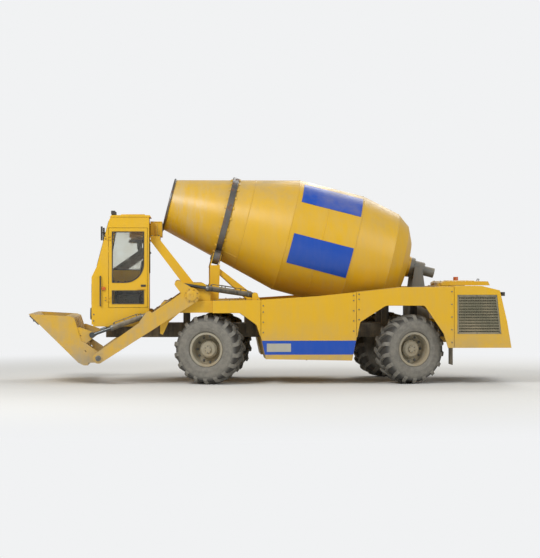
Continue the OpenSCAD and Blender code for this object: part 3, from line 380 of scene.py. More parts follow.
@dataclass(frozen=True)
class HardChrome(Finish):
    """Hard-chromed cylinder rod, ground and filmed with dry dust: a soft reflection with wipe marks."""

    colour: str = "#5f6263"

    def surface(self, tree: Tree, place: Socket) -> dict:
        """Adds the wipe marks.

        Args:
            tree: The material's node tree.
            place: Object coordinates, in metres.

        Returns:
            Inputs of the Principled shader.
        """
        along = add_node(tree, "Mapping", {"Vector": place, "Scale": (0.1, 1.0, 0.1)})
        wipe = add_node(tree, "TexNoise", {"Vector": along, "Scale": per_metre(8), "Detail": 3.0})
        rough = add_node(tree, "MapRange", {"Value": wipe, "To Min": 0.28, "To Max": 0.46})
        return {"Base Color": linear(self.colour), "Metallic": 1.0, "Roughness": rough}


@dataclass(frozen=True)
class TreadRubber(Finish):
    """Moulded carbon-black rubber that has run on dry concrete dust: pale dust on the side walls and the
    lugs, thinner where the lugs touch the ground, and painted shade between the lugs: there the dust is held
    back so that dark rubber stands for the shade in the grooves."""

    rubber: str = "#2b2a29"
    dust: str = "#8e8a80"
    cover: float = 0.86

    def surface(self, tree: Tree, place: Socket) -> dict:
        """Adds dust over rubber by the tread attribute, which is 1 on the top of a lug, and by the attribute
        that is 1 between the lugs, where dust is held back as painted shade of the grooves.

        Args:
            tree: The material's node tree.
            place: Object coordinates, in metres.

        Returns:
            Inputs of the Principled shader.
        """
        tread = add_node(tree, "Attribute", attribute_name="tread").outputs["Fac"]
        groove = add_node(tree, "Attribute", attribute_name="groove").outputs["Fac"]
        patch = add_node(tree, "TexNoise", {"Vector": place, "Scale": per_metre(70), "Detail": 8.0,
                                            "Roughness": 0.68})
        grain = add_node(tree, "TexNoise", {"Vector": place, "Scale": per_metre(7), "Detail": 4.0})
        lying = add_node(tree, "MapRange", {"Value": patch, "From Min": 0.30, "From Max": 0.62,
                                            "To Min": 0.60, "To Max": 1.0})
        rubbed = add_node(tree, "MapRange", {"Value": tread, "To Min": self.cover, "To Max": 0.50})
        # Painted shade: between the lugs the dust is cut down to 12 per cent, so that dark rubber stands for
        # the shade in the grooves.
        painted_groove_shade = add_node(tree, "MapRange", {"Value": groove, "To Min": 1.0, "To Max": 0.12})
        share = add_node(tree, "Math", {0: rubbed, 1: painted_groove_shade}, operation="MULTIPLY")
        dust = add_node(tree, "Math", {0: lying, 1: share}, operation="MULTIPLY", use_clamp=True)
        tone = add_node(tree, "Mix", {"Factor": dust, "A": linear(self.rubber), "B": linear(self.dust)},
                        data_type="RGBA")
        rough = add_node(tree, "MapRange", {"Value": dust, "To Min": 0.62, "To Max": 0.97})
        skin = add_node(tree, "Bump", {"Height": grain, "Strength": 0.25, "Distance": 1.5 * MM})
        return {"Base Color": tone, "Roughness": rough, "Normal": skin}


@dataclass(frozen=True)
class SafetyGlass(Finish):
    """Flat laminated safety glass with a faint green tint and a haze of dust in soft drifts."""

    tint: str = "#eef4f3"
    dust: str = "#dfdacd"

    def surface(self, tree: Tree, place: Socket) -> dict:
        """Adds the haze of dust.

        Args:
            tree: The material's node tree.
            place: Object coordinates, in metres.

        Returns:
            Inputs of the Principled shader.
        """
        haze = add_node(tree, "TexNoise", {"Vector": place, "Scale": per_metre(180), "Detail": 6.0,
                                           "Roughness": 0.6})
        tone = add_node(tree, "Mix", {"Factor": haze, "A": linear(self.tint), "B": linear(self.dust)},
                        data_type="RGBA")
        rough = add_node(tree, "MapRange", {"Value": haze, "From Min": 0.45, "From Max": 0.9,
                                            "To Min": 0.02, "To Max": 0.35})
        return {"Base Color": tone, "Roughness": rough, "Transmission Weight": 1.0, "IOR": 1.45}


@dataclass(frozen=True)
class MouldedPlastic(Finish):
    """Injection-moulded or pressed plastic or rubber: a fine spark-eroded grain, greyed by dust."""

    colour: str = "#232425"
    dust: str = "#8c8271"
    roughness: float = 0.55
    grain_mm: float = 3.0
    dust_amount: float = 0.25

    def surface(self, tree: Tree, place: Socket) -> dict:
        """Adds the grain and the dust.

        Args:
            tree: The material's node tree.
            place: Object coordinates, in metres.

        Returns:
            Inputs of the Principled shader.
        """
        dust = settled_dust(tree, place, self.dust_amount, 0.9)
        tone = add_node(tree, "Mix", {"Factor": dust, "A": linear(self.colour), "B": linear(self.dust)},
                        data_type="RGBA")
        rough = add_node(tree, "MapRange", {"Value": dust, "To Min": self.roughness, "To Max": 0.92})
        grain = add_node(tree, "TexVoronoi", {"Vector": place, "Scale": per_metre(self.grain_mm)})
        skin = add_node(tree, "Bump", {"Height": grain, "Strength": 0.2, "Distance": 0.4 * MM})
        return {"Base Color": tone, "Roughness": rough, "Normal": skin}


@dataclass(frozen=True)
class MouldedLens(Finish):
    """Moulded polycarbonate lens over a reflector: glossy, with the pressed ribs that spread the beam."""

    colour: str = "#d8d8d0"
    rib_mm: float = 9.0
    transmission: float = 0.35

    def surface(self, tree: Tree, place: Socket) -> dict:
        """Adds the ribs.

        Args:
            tree: The material's node tree.
            place: Object coordinates, in metres.

        Returns:
            Inputs of the Principled shader.
        """
        ribs = add_node(tree, "TexWave", {"Vector": place, "Scale": per_metre(self.rib_mm) / 6.283,
                                          "Distortion": 0.0}, bands_direction="Y").outputs["Fac"]
        grime = add_node(tree, "TexNoise", {"Vector": place, "Scale": per_metre(40), "Detail": 4.0})
        rough = add_node(tree, "MapRange", {"Value": grime, "To Min": 0.08, "To Max": 0.4})
        skin = add_node(tree, "Bump", {"Height": ribs, "Strength": 0.4, "Distance": 1.5 * MM})
        return {"Base Color": linear(self.colour), "Roughness": rough, "Normal": skin,
                "Transmission Weight": self.transmission, "IOR": 1.58, "Coat Weight": 0.5}


@dataclass(frozen=True)
class WireCloth(Finish):
    """Galvanised wire cloth, woven too fine to see through, with dust caught in its meshes."""

    wire: str = "#77745c"
    mesh: str = "#24231f"
    pitch_mm: float = 6.0

    def surface(self, tree: Tree, place: Socket) -> dict:
        """Adds the weave and the dust.

        Args:
            tree: The material's node tree.
            place: Object coordinates, in metres.

        Returns:
            Inputs of the Principled shader.
        """
        warp, weft = (add_node(tree, "TexWave", {"Vector": place, "Scale": per_metre(self.pitch_mm) / 20.0,
                                                 "Distortion": 0.0}, bands_direction=across).outputs["Fac"]
                      for across in ("X", "Z"))
        weave = add_node(tree, "Math", {0: warp, 1: weft}, operation="MAXIMUM")
        dust = settled_dust(tree, place, 0.5, 1.4)
        cover = add_node(tree, "Math", {0: weave, 1: dust}, operation="MAXIMUM")
        tone = add_node(tree, "Mix", {"Factor": cover, "A": linear(self.mesh), "B": linear(self.wire)},
                        data_type="RGBA")
        skin = add_node(tree, "Bump", {"Height": weave, "Strength": 0.6, "Distance": 1.2 * MM})
        return {"Base Color": tone, "Roughness": 0.62, "Normal": skin}


@dataclass(frozen=True)
class SeatVinyl(Finish):
    """Calendered vinyl cloth over foam: a pebbled grain that shines softly where it is sat on."""

    colour: str = "#26272a"
    worn: str = "#4a4945"
    grain_mm: float = 5.0

    def surface(self, tree: Tree, place: Socket) -> dict:
        """Adds the pebbled grain.

        Args:
            tree: The material's node tree.
            place: Object coordinates, in metres.

        Returns:
            Inputs of the Principled shader.
        """
        grain = add_node(tree, "TexVoronoi", {"Vector": place, "Scale": per_metre(self.grain_mm)})
        rub = add_node(tree, "TexNoise", {"Vector": place, "Scale": per_metre(120), "Detail": 4.0})
        tone = add_node(tree, "Mix", {"Factor": rub, "A": linear(self.colour), "B": linear(self.worn)},
                        data_type="RGBA")
        rough = add_node(tree, "MapRange", {"Value": rub, "To Min": 0.38, "To Max": 0.66})
        skin = add_node(tree, "Bump", {"Height": grain, "Strength": 0.45, "Distance": 0.8 * MM})
        return {"Base Color": tone, "Roughness": rough, "Normal": skin}


YELLOW = Enamel("sun_faded_yellow_enamel", "yellow_paint", "#e2b00a", "#d9aa18", dust_amount=0.12)
ARM_YELLOW = Enamel("scraped_yellow_enamel", "yellow_paint", "#deac0c", "#cda01e", dust_amount=0.30,
                    wear=Wear.HARD, splash_height=1.6)
DRUM_YELLOW = DrumEnamel("drum_yellow_enamel", "drum_paint", "#e0af0b", "#d4a61b", dust_amount=0.14,
                         wear=Wear.KEPT, splash_height=0.3)
CHASSIS_BLACK = Enamel("satin_chassis_black", "black_paint", "#1c1c1d", "#262626", dust_amount=0.35,
                       primer="#57483a", roughness=0.5, splash_height=1.2)
MACHINE_GREY = Enamel("machinery_grey_enamel", "grey_paint", "#6f7270", "#7b7d79", dust_amount=0.35,
                      roughness=0.45)
MESH_GREY = Enamel("galvanised_mesh_grey", "black_paint", "#6f6c58", "#7c7963", dust_amount=0.45,
                   roughness=0.6, splash_height=1.5)
PANEL_BLUE = Enamel("smooth_blue_enamel", "blue_panel", "#0044ae", "#084cae", dust_amount=0.04,
                    wear=Wear.KEPT, primer="#9a9a94", splash_height=0.4, roughness=0.30)
PATCH_WHITE = Enamel("off_white_enamel", "grey_paint", "#b9b9ae", "#a9a798", dust_amount=0.2,
                     wear=Wear.KEPT, primer="#0044ae", splash_height=0.5)
RIM_PAINT = Enamel("wheel_off_white_enamel", "rim_paint", "#a8a595", "#97917f", dust_amount=0.55,
                   roughness=0.55, splash_height=1.6)
CAST_IRON = Casting("sand_cast_iron", "cast_iron")
WORN_STEEL = BareSteel("bright_worn_steel", "worn_steel", "#7a7874", roughness=0.42, rust_share=0.55)
CHUTE_STEEL = BareSteel("scoured_chute_steel", "grey_paint", "#6f6d69", rust_share=0.7, roughness=0.5)
BOLT_STEEL = BareSteel("zinc_plated_bolt_steel", "worn_steel", "#7d7e7b", "#5c4a3c", roughness=0.45,
                       rust_share=0.5)
ROD_CHROME = HardChrome("hard_chromed_rod", "rod_chrome")
TYRE = TreadRubber("dusty_moulded_rubber", "rubber_tyre")
GLASS = SafetyGlass("tinted_safety_glass", "tinted_glass")
PLASTIC = MouldedPlastic("black_moulded_plastic", "black_plastic")
FLAP_RUBBER = MouldedPlastic("ribbed_flap_rubber", "flap_rubber", "#222120", roughness=0.75, grain_mm=9.0,
                             dust_amount=0.6)
RUBBER_TRIM = MouldedPlastic("extruded_black_rubber", "black_plastic", "#1d1d1c", roughness=0.7,
                             grain_mm=6.0, dust_amount=0.4)
LENS_CLEAR = MouldedLens("clear_moulded_lens", "lamp_lens")
LENS_AMBER = MouldedLens("amber_moulded_lens", "amber_lens", "#e06a12", transmission=0.2)
LENS_RED = MouldedLens("red_moulded_lens", "lamp_lens", "#9c1310", transmission=0.2)
MIRROR_GLASS = HardChrome("silvered_mirror", "mirror_black", "#b9bfc1")
SCREEN = WireCloth("galvanised_wire_cloth", "grey_paint")
VINYL = SeatVinyl("grained_seat_vinyl", "seat_vinyl")


# How pieces are shaped and handed over


def polar(radius: float, angle: float, height: float = 0.0) -> Vector:
    """Point round the Z axis, at an angle in radians from X."""
    return Vector((radius * math.cos(angle), radius * math.sin(angle), height))


def side_view(outline: Sequence[Point], y: float, from_x: float = 0.0) -> list[Vector]:
    """Corners of an outline drawn from the side, as X from a place and Z, set at one Y."""
    return [Vector((from_x + x, y, z)) for x, z in outline]


class Piece:
    """A new piece of the machine: a bmesh that operators shape, then an object that rides on a body."""

    def __init__(self, name: str) -> None:
        """Starts an empty piece.

        Args:
            name: Name of the finished object.
        """
        self.name = name
        self.mesh = bmesh.new()

    def placed(self, verts: Verts, place: Matrix | None) -> Verts:
        """Moves vertices by a matrix, if there is one, and returns them."""
        if place is not None:
            bmesh.ops.transform(self.mesh, matrix=place, verts=verts)
        return verts

    def block(self, low: Point, high: Point, round_mm: float = 0.0,
              place: Matrix | None = None) -> Verts:
        """Adds a block with rounded edges.

        Args:
            low: Lowest corner.
            high: Highest corner.
            round_mm: Radius of its edges.
            place: Where it goes.

        Returns:
            The block's vertices.
        """
        a, b = Vector(low), Vector(high)
        verts = bmesh.ops.create_cube(self.mesh, size=1.0)["verts"]
        bmesh.ops.scale(self.mesh, vec=b - a, verts=verts)
        bmesh.ops.translate(self.mesh, vec=(a + b) / 2, verts=verts)
        if round_mm:
            verts = self.rounded(verts, round_mm)
        return self.placed(verts, place)

    def rounded(self, verts: Verts, round_mm: float, segments: int = 2) -> Verts:
        """Rounds every edge between some vertices.

        Args:
            verts: The vertices.
            round_mm: Radius of the edges.
            segments: Steps across an edge.

        Returns:
            The vertices of what they became.
        """
        edges = list({e for v in verts for e in v.link_edges if e.other_vert(v) in verts})
        made = bmesh.ops.bevel(self.mesh, geom=edges, offset=round_mm * MM, segments=segments, profile=0.5,
                               affect="EDGES", material=-1, clamp_overlap=True)
        faces = {f for v in made["verts"] for f in v.link_faces}
        return list({v for f in faces for v in f.verts})

    def rod(self, start: Point, end: Point, radius: float, end_radius: float | None = None,
            segments: int = 20) -> Verts:
        """Adds a round bar or cone from start to end, with closed ends.

        Args:
            start: Middle of its first end.
            end: Middle of its other end.
            radius: Radius at the start.
            end_radius: Radius at the end, where it differs.
            segments: Number of sides.

        Returns:
            The bar's vertices.
        """
        a, b = Vector(start), Vector(end)
        turn = (b - a).to_track_quat("Z", "Y").to_matrix().to_4x4()
        return bmesh.ops.create_cone(
            self.mesh, cap_ends=True, segments=segments, radius1=radius,
            radius2=radius if end_radius is None else end_radius, depth=(b - a).length,
            matrix=Matrix.Translation((a + b) / 2) @ turn)["verts"]

    def bolt(self, at: Point, out: Point, width_mm: float = 24.0) -> None:
        """Adds a hexagon bolt head on a washer.

        Args:
            at: Point on the surface under the head.
            out: Direction in which the head stands.
            width_mm: Width across the head's corners.
        """
        foot, direction = Vector(at), Vector(out).normalized()
        half = width_mm * MM / 2
        self.rod(foot, foot + direction * 0.18 * half, 1.25 * half, segments=16)
        self.rod(foot + direction * 0.18 * half, foot + direction * 1.1 * half, half, segments=6)
        self.rod(foot + direction * 1.1 * half, foot + direction * 1.3 * half, 0.5 * half, 0.42 * half,
                 segments=10)

    def bolt_ring(self, place: Matrix, radius: float, height: float, count: int, width_mm: float,
                  offset: float = 0.0, sense: int = 1) -> None:
        """Adds a circle of bolts round an axis.

        Args:
            place: Place of the axis, which is Z.
            radius: Radius of the circle.
            height: Distance of the bolts' feet along the axis.
            count: Number of bolts.
            width_mm: Width across each head's corners.
            offset: Share of a step by which the first bolt is turned from X.
            sense: 1 where the heads point along the axis, -1 where they point against it.
        """
        out = place.to_3x3() @ Vector((0, 0, sense))
        for index in range(count):
            angle = math.tau * (index + offset) / count
            self.bolt(place @ polar(radius, angle, height), out, width_mm)

    def tube(self, points: Sequence[Point], radius: float, segments: int = 10,
             bend: float = 0.05) -> None:
        """Adds a bent tube: straight runs joined by short bends.

        Args:
            points: Corners of the tube's run.
            radius: Outer radius.
            segments: Sides of the tube.
            bend: Length of a run that each bend takes.
        """
        path = [Vector(points[0])]
        for before, corner, after in zip(points, points[1:], points[2:]):
            corner = Vector(corner)
            back = min(bend, (Vector(before) - corner).length / 2.2)
            ahead = min(bend, (Vector(after) - corner).length / 2.2)
            entry = corner + (Vector(before) - corner).normalized() * back
            leave = corner + (Vector(after) - corner).normalized() * ahead
            path += [entry.lerp(corner, t).lerp(corner.lerp(leave, t), t) for t in (0.0, 0.33, 0.67, 1.0)]
        path.append(Vector(points[-1]))
        first = (path[1] - path[0]).to_track_quat("Z", "Y").to_matrix().to_4x4()
        ring = bmesh.ops.create_circle(self.mesh, cap_ends=True, segments=segments, radius=radius,
                                       matrix=Matrix.Translation(path[0]) @ first)["verts"]
        face = ring[0].link_faces[0]
        heading = (path[1] - path[0]).normalized()
        for index in range(1, len(path)):
            grown = bmesh.ops.extrude_face_region(self.mesh, geom=[face])["geom"]
            if index > 1 and face.is_valid:
                bmesh.ops.delete(self.mesh, geom=[face], context="FACES_ONLY")
            ring = [g for g in grown if isinstance(g, bmesh.types.BMVert)]
            face = next(g for g in grown if isinstance(g, bmesh.types.BMFace))
            centre = sum((v.co for v in ring), Vector()) / len(ring)
            ahead = (path[min(index + 1, len(path) - 1)] - path[index - 1]).normalized()
            bmesh.ops.rotate(self.mesh, cent=centre, matrix=heading.rotation_difference(ahead).to_matrix(),
                             verts=ring)
            bmesh.ops.translate(self.mesh, vec=path[index] - centre, verts=ring)
            heading = ahead

    def lathe(self, profile: Sequence[tuple[float, float]], place: Matrix, segments: int = 96,
              closed: bool = True) -> Verts:
        """Turns a half section round an axis.

        Args:
            profile: Radius and distance along the axis of each point.
            place: Turns and moves the axis, which is Z, to its place.
            segments: Steps of the full turn.
            closed: Whether the last point joins the first.

        Returns:
            The turned vertices.
        """
        verts = [self.mesh.verts.new((r, 0.0, z)) for r, z in profile]
        pairs = list(zip(verts, verts[1:])) + ([(verts[-1], verts[0])] if closed else [])
        edges = [self.mesh.edges.new(p) for p in pairs]
        before = set(self.mesh.verts)
        bmesh.ops.spin(self.mesh, geom=verts + edges, cent=(0, 0, 0), axis=(0, 0, 1), angle=math.tau,
                       steps=segments, use_merge=True, use_duplicate=False)
        made = [v for v in self.mesh.verts if v not in before] + [v for v in verts if v.is_valid]
        bmesh.ops.remove_doubles(self.mesh, verts=made, dist=1e-6)
        return self.placed([v for v in made if v.is_valid], place)

    def plate(self, outline: Sequence[Point], depth: Point, round_mm: float = 0.0,
              place: Matrix | None = None) -> Verts:
        """Adds a flat plate by pushing its outline through its thickness.

        Args:
            outline: Corners of one face.
            depth: Vector from that face to the other.
            round_mm: Radius of its edges.
            place: Where it goes.

        Returns:
            The plate's vertices.
        """
        corners = [self.mesh.verts.new(p) for p in outline]
        face = self.mesh.faces.new(corners)
        grown = bmesh.ops.extrude_face_region(self.mesh, geom=[face], use_keep_orig=True)["geom"]
        far = [g for g in grown if isinstance(g, bmesh.types.BMVert)]
        bmesh.ops.translate(self.mesh, vec=Vector(depth), verts=far)
        verts = corners + far
        if round_mm:
            verts = self.rounded(verts, round_mm)
        return self.placed(verts, place)

    def done(self, finish: Finish, body: str = "root", slot: str = "", replaces: Sequence[str] = (),
             smooth_deg: float = 38.0) -> bpy.types.Object:
        """Turns the bmesh into a finished piece on its body.

        Args:
            finish: Its finish.
            body: CAD body that it moves with.
            slot: Material slot of the record, where it isn't the finish's own; not used.
            replaces: CAD nodes that it stands for.
            smooth_deg: Edges flatter than this are shaded smooth.

        Returns:
            The finished object.
        """
        bmesh.ops.recalc_face_normals(self.mesh, faces=self.mesh.faces)
        data = bpy.data.meshes.new(self.name)
        self.mesh.to_mesh(data)
        self.mesh.free()
        data.materials.append(finish.material())
        data.shade_smooth()
        data.set_sharp_from_angle(angle=math.radians(smooth_deg))
        piece = bpy.data.objects.new(self.name, data)
        bpy.context.scene.collection.objects.link(piece)
        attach(piece, body)
        if replaces:
            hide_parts(*replaces)
        LOG.info("%s: %d faces on %s", self.name, len(data.polygons), body)
        return piece


def joint(name: str) -> dict:
    """Returns the record's joint of that name."""
    return next(j for j in frame["joints"] if j["name"] == name)


def axis_place(origin: Point, axis: Point, up: Point = (0, 0, 1)) -> Matrix:
    """Place of a turned piece: its Z on an axis, and its X as near to a direction as it can be.

    Args:
        origin: Point on the axis.
        axis: Direction of the axis.
        up: Direction that the piece's X follows.

    Returns:
        The matrix from the piece's own frame to the machine's.
    """
    z = Vector(axis).normalized()
    x = (Vector(up) - z * Vector(up).dot(z)).normalized()
    y = z.cross(x)
    turn = Matrix((x, y, z)).transposed().to_4x4()
    return Matrix.Translation(Vector(origin)) @ turn


class Side(Enum):
    """Side of the machine: 1 at its left, where the cab is, and -1 at its right."""

    LEFT = 1
    RIGHT = -1


CORNERS = ("fl", "fr", "rl", "rr")


@dataclass
class OnChassis:
    """A sub-assembly whose places along the machine are given from one of the axles."""

    front_axle: float = field(default_factory=lambda: joint("steer_fl")["pos_m"][0])
    rear_axle: float = field(default_factory=lambda: joint("steer_rl")["pos_m"][0])

    def at(self, x: float, y: float, z: float) -> Vector:
        """Point whose X is given from the front axle."""
        return Vector((self.front_axle + x, y, z))


# Wheels


@dataclass
class Wheels:
    """Four lugged tyres on off-white rims, with their nuts and final drives."""

    radius: float = 0.550
    carcass: float = 0.512
    half_width: float = 0.225
    seat: float = 0.2503
    flange_y: float = 0.1752
    lugs_per_side: int = 18
    lug_width: float = 0.058
    lug_sweep_deg: float = 13.0
    lug_start_deg: float = 92.4
    nuts: int = 12
    nut_circle: float = 0.205
    disc_y: float = -0.010
    hub_face: float = 0.108

    def centre(self, corner: str) -> Matrix:
        """Finds the place of a wheel: Z out along its axle and X up.

        Args:
            corner: One of CORNERS.

        Returns:
            The matrix from the wheel's own frame to the machine's.
        """
        roll = joint(f"wheel_{corner}_roll")
        side = 1 if corner.endswith("l") else -1
        return axis_place(roll["pos_m"], Vector(roll["axis"]) * side)

    def section(self) -> list[tuple[float, float]]:
        """Draws the half section of the carcass, round from bead to bead.

        Returns:
            Radius and distance along the axle of each point.
        """
        w = self.half_width
        side = [
            (self.seat, self.flange_y - 0.0003), (self.seat + 0.026, self.flange_y - 0.0003),
            (self.seat + 0.036, 0.90 * w), (self.seat + 0.054, 0.955 * w), (0.335, 0.972 * w),
            (0.340, 0.985 * w), (0.350, 0.985 * w), (0.356, 0.978 * w), (0.400, 0.995 * w),
            (0.432, 0.985 * w), (0.436, 0.965 * w), (0.470, 0.945 * w), (0.492, 0.89 * w),
            (0.503, 0.80 * w), (0.509, 0.60 * w), (self.carcass, 0.30 * w)]
        return [(r, -y) for r, y in side] + [(self.carcass + 0.001, 0.0)] + side[::-1]

    def lug(self, piece: Piece, start_deg: float, side: int, trail: int, base: Matrix) -> Verts:
        """Adds one lug, bent round the carcass from the middle of the tread down over the shoulder.

        Args:
            piece: Tyre that gets the lug.
            start_deg: Angle of its inner end round the wheel.
            side: 1 or -1 for the outer or inner half of the tread.
            trail: Sense round the wheel in which the lug runs to the shoulder, 1 or -1.
            base: Place of the wheel.

        Returns:
            The lug's vertices.
        """
        low = bmesh.ops.create_grid(piece.mesh, x_segments=7, y_segments=1, size=0.5)["verts"]
        faces = list({f for v in low for f in v.link_faces})
        grown = bmesh.ops.extrude_face_region(piece.mesh, geom=faces, use_keep_orig=True)["geom"]
        high = [g for g in grown if isinstance(g, bmesh.types.BMVert)]
        verts = low + high
        shoulder = self.half_width * 0.97
        for index, v in enumerate(verts):
            t = v.co.x + 0.5
            top = index >= len(low)
            across = -0.012 + t * (shoulder + 0.012)
            drop = max(0.0, t - 0.70) / 0.30
            crown = self.radius - 0.004 * t * t - 0.062 * drop ** 1.6
            foot = self.carcass - 0.006 - 0.055 * drop
            width = self.lug_width * (1.0 - 0.18 * top) * (0.92 + 0.5 * t * t)
            swing = trail * math.radians(self.lug_sweep_deg) * (1.0 - (1.0 - t) ** 1.7)
            angle = math.radians(start_deg) + swing + v.co.y * width / self.radius
            v.co = polar(crown if top else foot, angle, side * across)
        return piece.placed(verts, base)

    def tyre(self, corner: str) -> None:
        """Builds one tyre and lets it stand for its plain solid.

        Args:
            corner: One of CORNERS.
        """
        piece = Piece(f"lugged_tyre_{corner}")
        base = self.centre(corner)
        piece.lathe(self.section(), base, segments=96)
        wall = len(piece.mesh.verts)
        step = 360.0 / self.lugs_per_side
        trail = -1 if corner.endswith("l") else 1
        for index in range(self.lugs_per_side):
            start = -trail * (self.lug_start_deg + index * step)
            self.lug(piece, start, 1, trail, base)
            self.lug(piece, start + 0.5 * step, -1, trail, base)
        tread = piece.mesh.verts.layers.float.new("tread")
        groove = piece.mesh.verts.layers.float.new("groove")
        home = base.inverted()
        for index, v in enumerate(piece.mesh.verts):
            reach = (home @ v.co).xy.length
            v[tread] = min(1.0, max(0.0, (reach - self.carcass - 0.012) / 0.022))
            # Painted shade: marks the carcass between the lugs, where the tyre's material holds back dust to
            # darken the grooves.
            v[groove] = min(1.0, max(0.0, (reach - 0.440) / 0.045)) if index < wall else 0.0
        piece.done(TYRE, f"wheel_{corner}", replaces=[f"tyre_{corner}"], smooth_deg=32)

    def hardware(self, corner: str) -> None:
        """Adds the nuts, the final drive's cover, the rim's rings and the valve of one wheel.

        Args:
            corner: One of CORNERS.
        """
        base, body = self.centre(corner), f"wheel_{corner}"
        nuts = Piece(f"wheel_nuts_{corner}")
        nuts.bolt_ring(base, self.nut_circle, self.disc_y, self.nuts, 34)
        nuts.bolt_ring(base, 0.128, 0.062, 8, 20, offset=0.5)
        nuts.bolt_ring(base, 0.046, self.hub_face, 6, 14)
        nuts.done(BOLT_STEEL, body)
        drive = Piece(f"final_drive_cover_{corner}")
        drive.lathe([(0.0, 0.107), (0.040, 0.107), (0.058, 0.1075), (0.058, 0.101), (0.062, 0.090),
                     (0.100, 0.0895), (0.112, 0.086), (0.120, 0.066), (0.139, 0.0625), (0.1415, 0.060),
                     (0.1415, 0.046), (0.1395, 0.044), (0.100, 0.044), (0.0, 0.044)], base, segments=48,
                    closed=False)
        for index in range(12):
            rib = Matrix.Rotation(math.tau * index / 12, 4, "Z")
            drive.block((0.060, -0.004, 0.064), (0.108, 0.004, 0.091), 1.5, base @ rib)
        drive.done(RIM_PAINT, body)
        rim = Piece(f"rim_rings_{corner}")
        for ring in (((0.236, 0.150), (0.243, 0.150), (0.243, 0.140), (0.236, 0.140)),
                     ((0.2365, -0.009), (0.2365, 0.004), (0.228, -0.009)),
                     ((0.155, -0.0095), (0.170, -0.004), (0.185, -0.0095))):
            rim.lathe(ring, base, segments=72)
        rim.done(RIM_PAINT, body)
        valve = Piece(f"tyre_valve_{corner}")
        root, foot, tip = (base @ Vector((0.0, y, self.disc_y + z))
                           for y, z in ((0.232, 0.004), (0.222, 0.030), (0.208, 0.085)))
        valve.rod(root, foot, 0.008, segments=12)
        valve.rod(foot, tip, 0.0065, segments=12)
        valve.rod(tip, tip + (tip - foot).normalized() * 0.014, 0.008, 0.0065, segments=12)
        valve.done(BOLT_STEEL, body)

    def build(self) -> None:
        """Builds the tyres and the hardware of all four wheels."""
        for corner in CORNERS:
            self.tyre(corner)
            self.hardware(corner)


# Drum


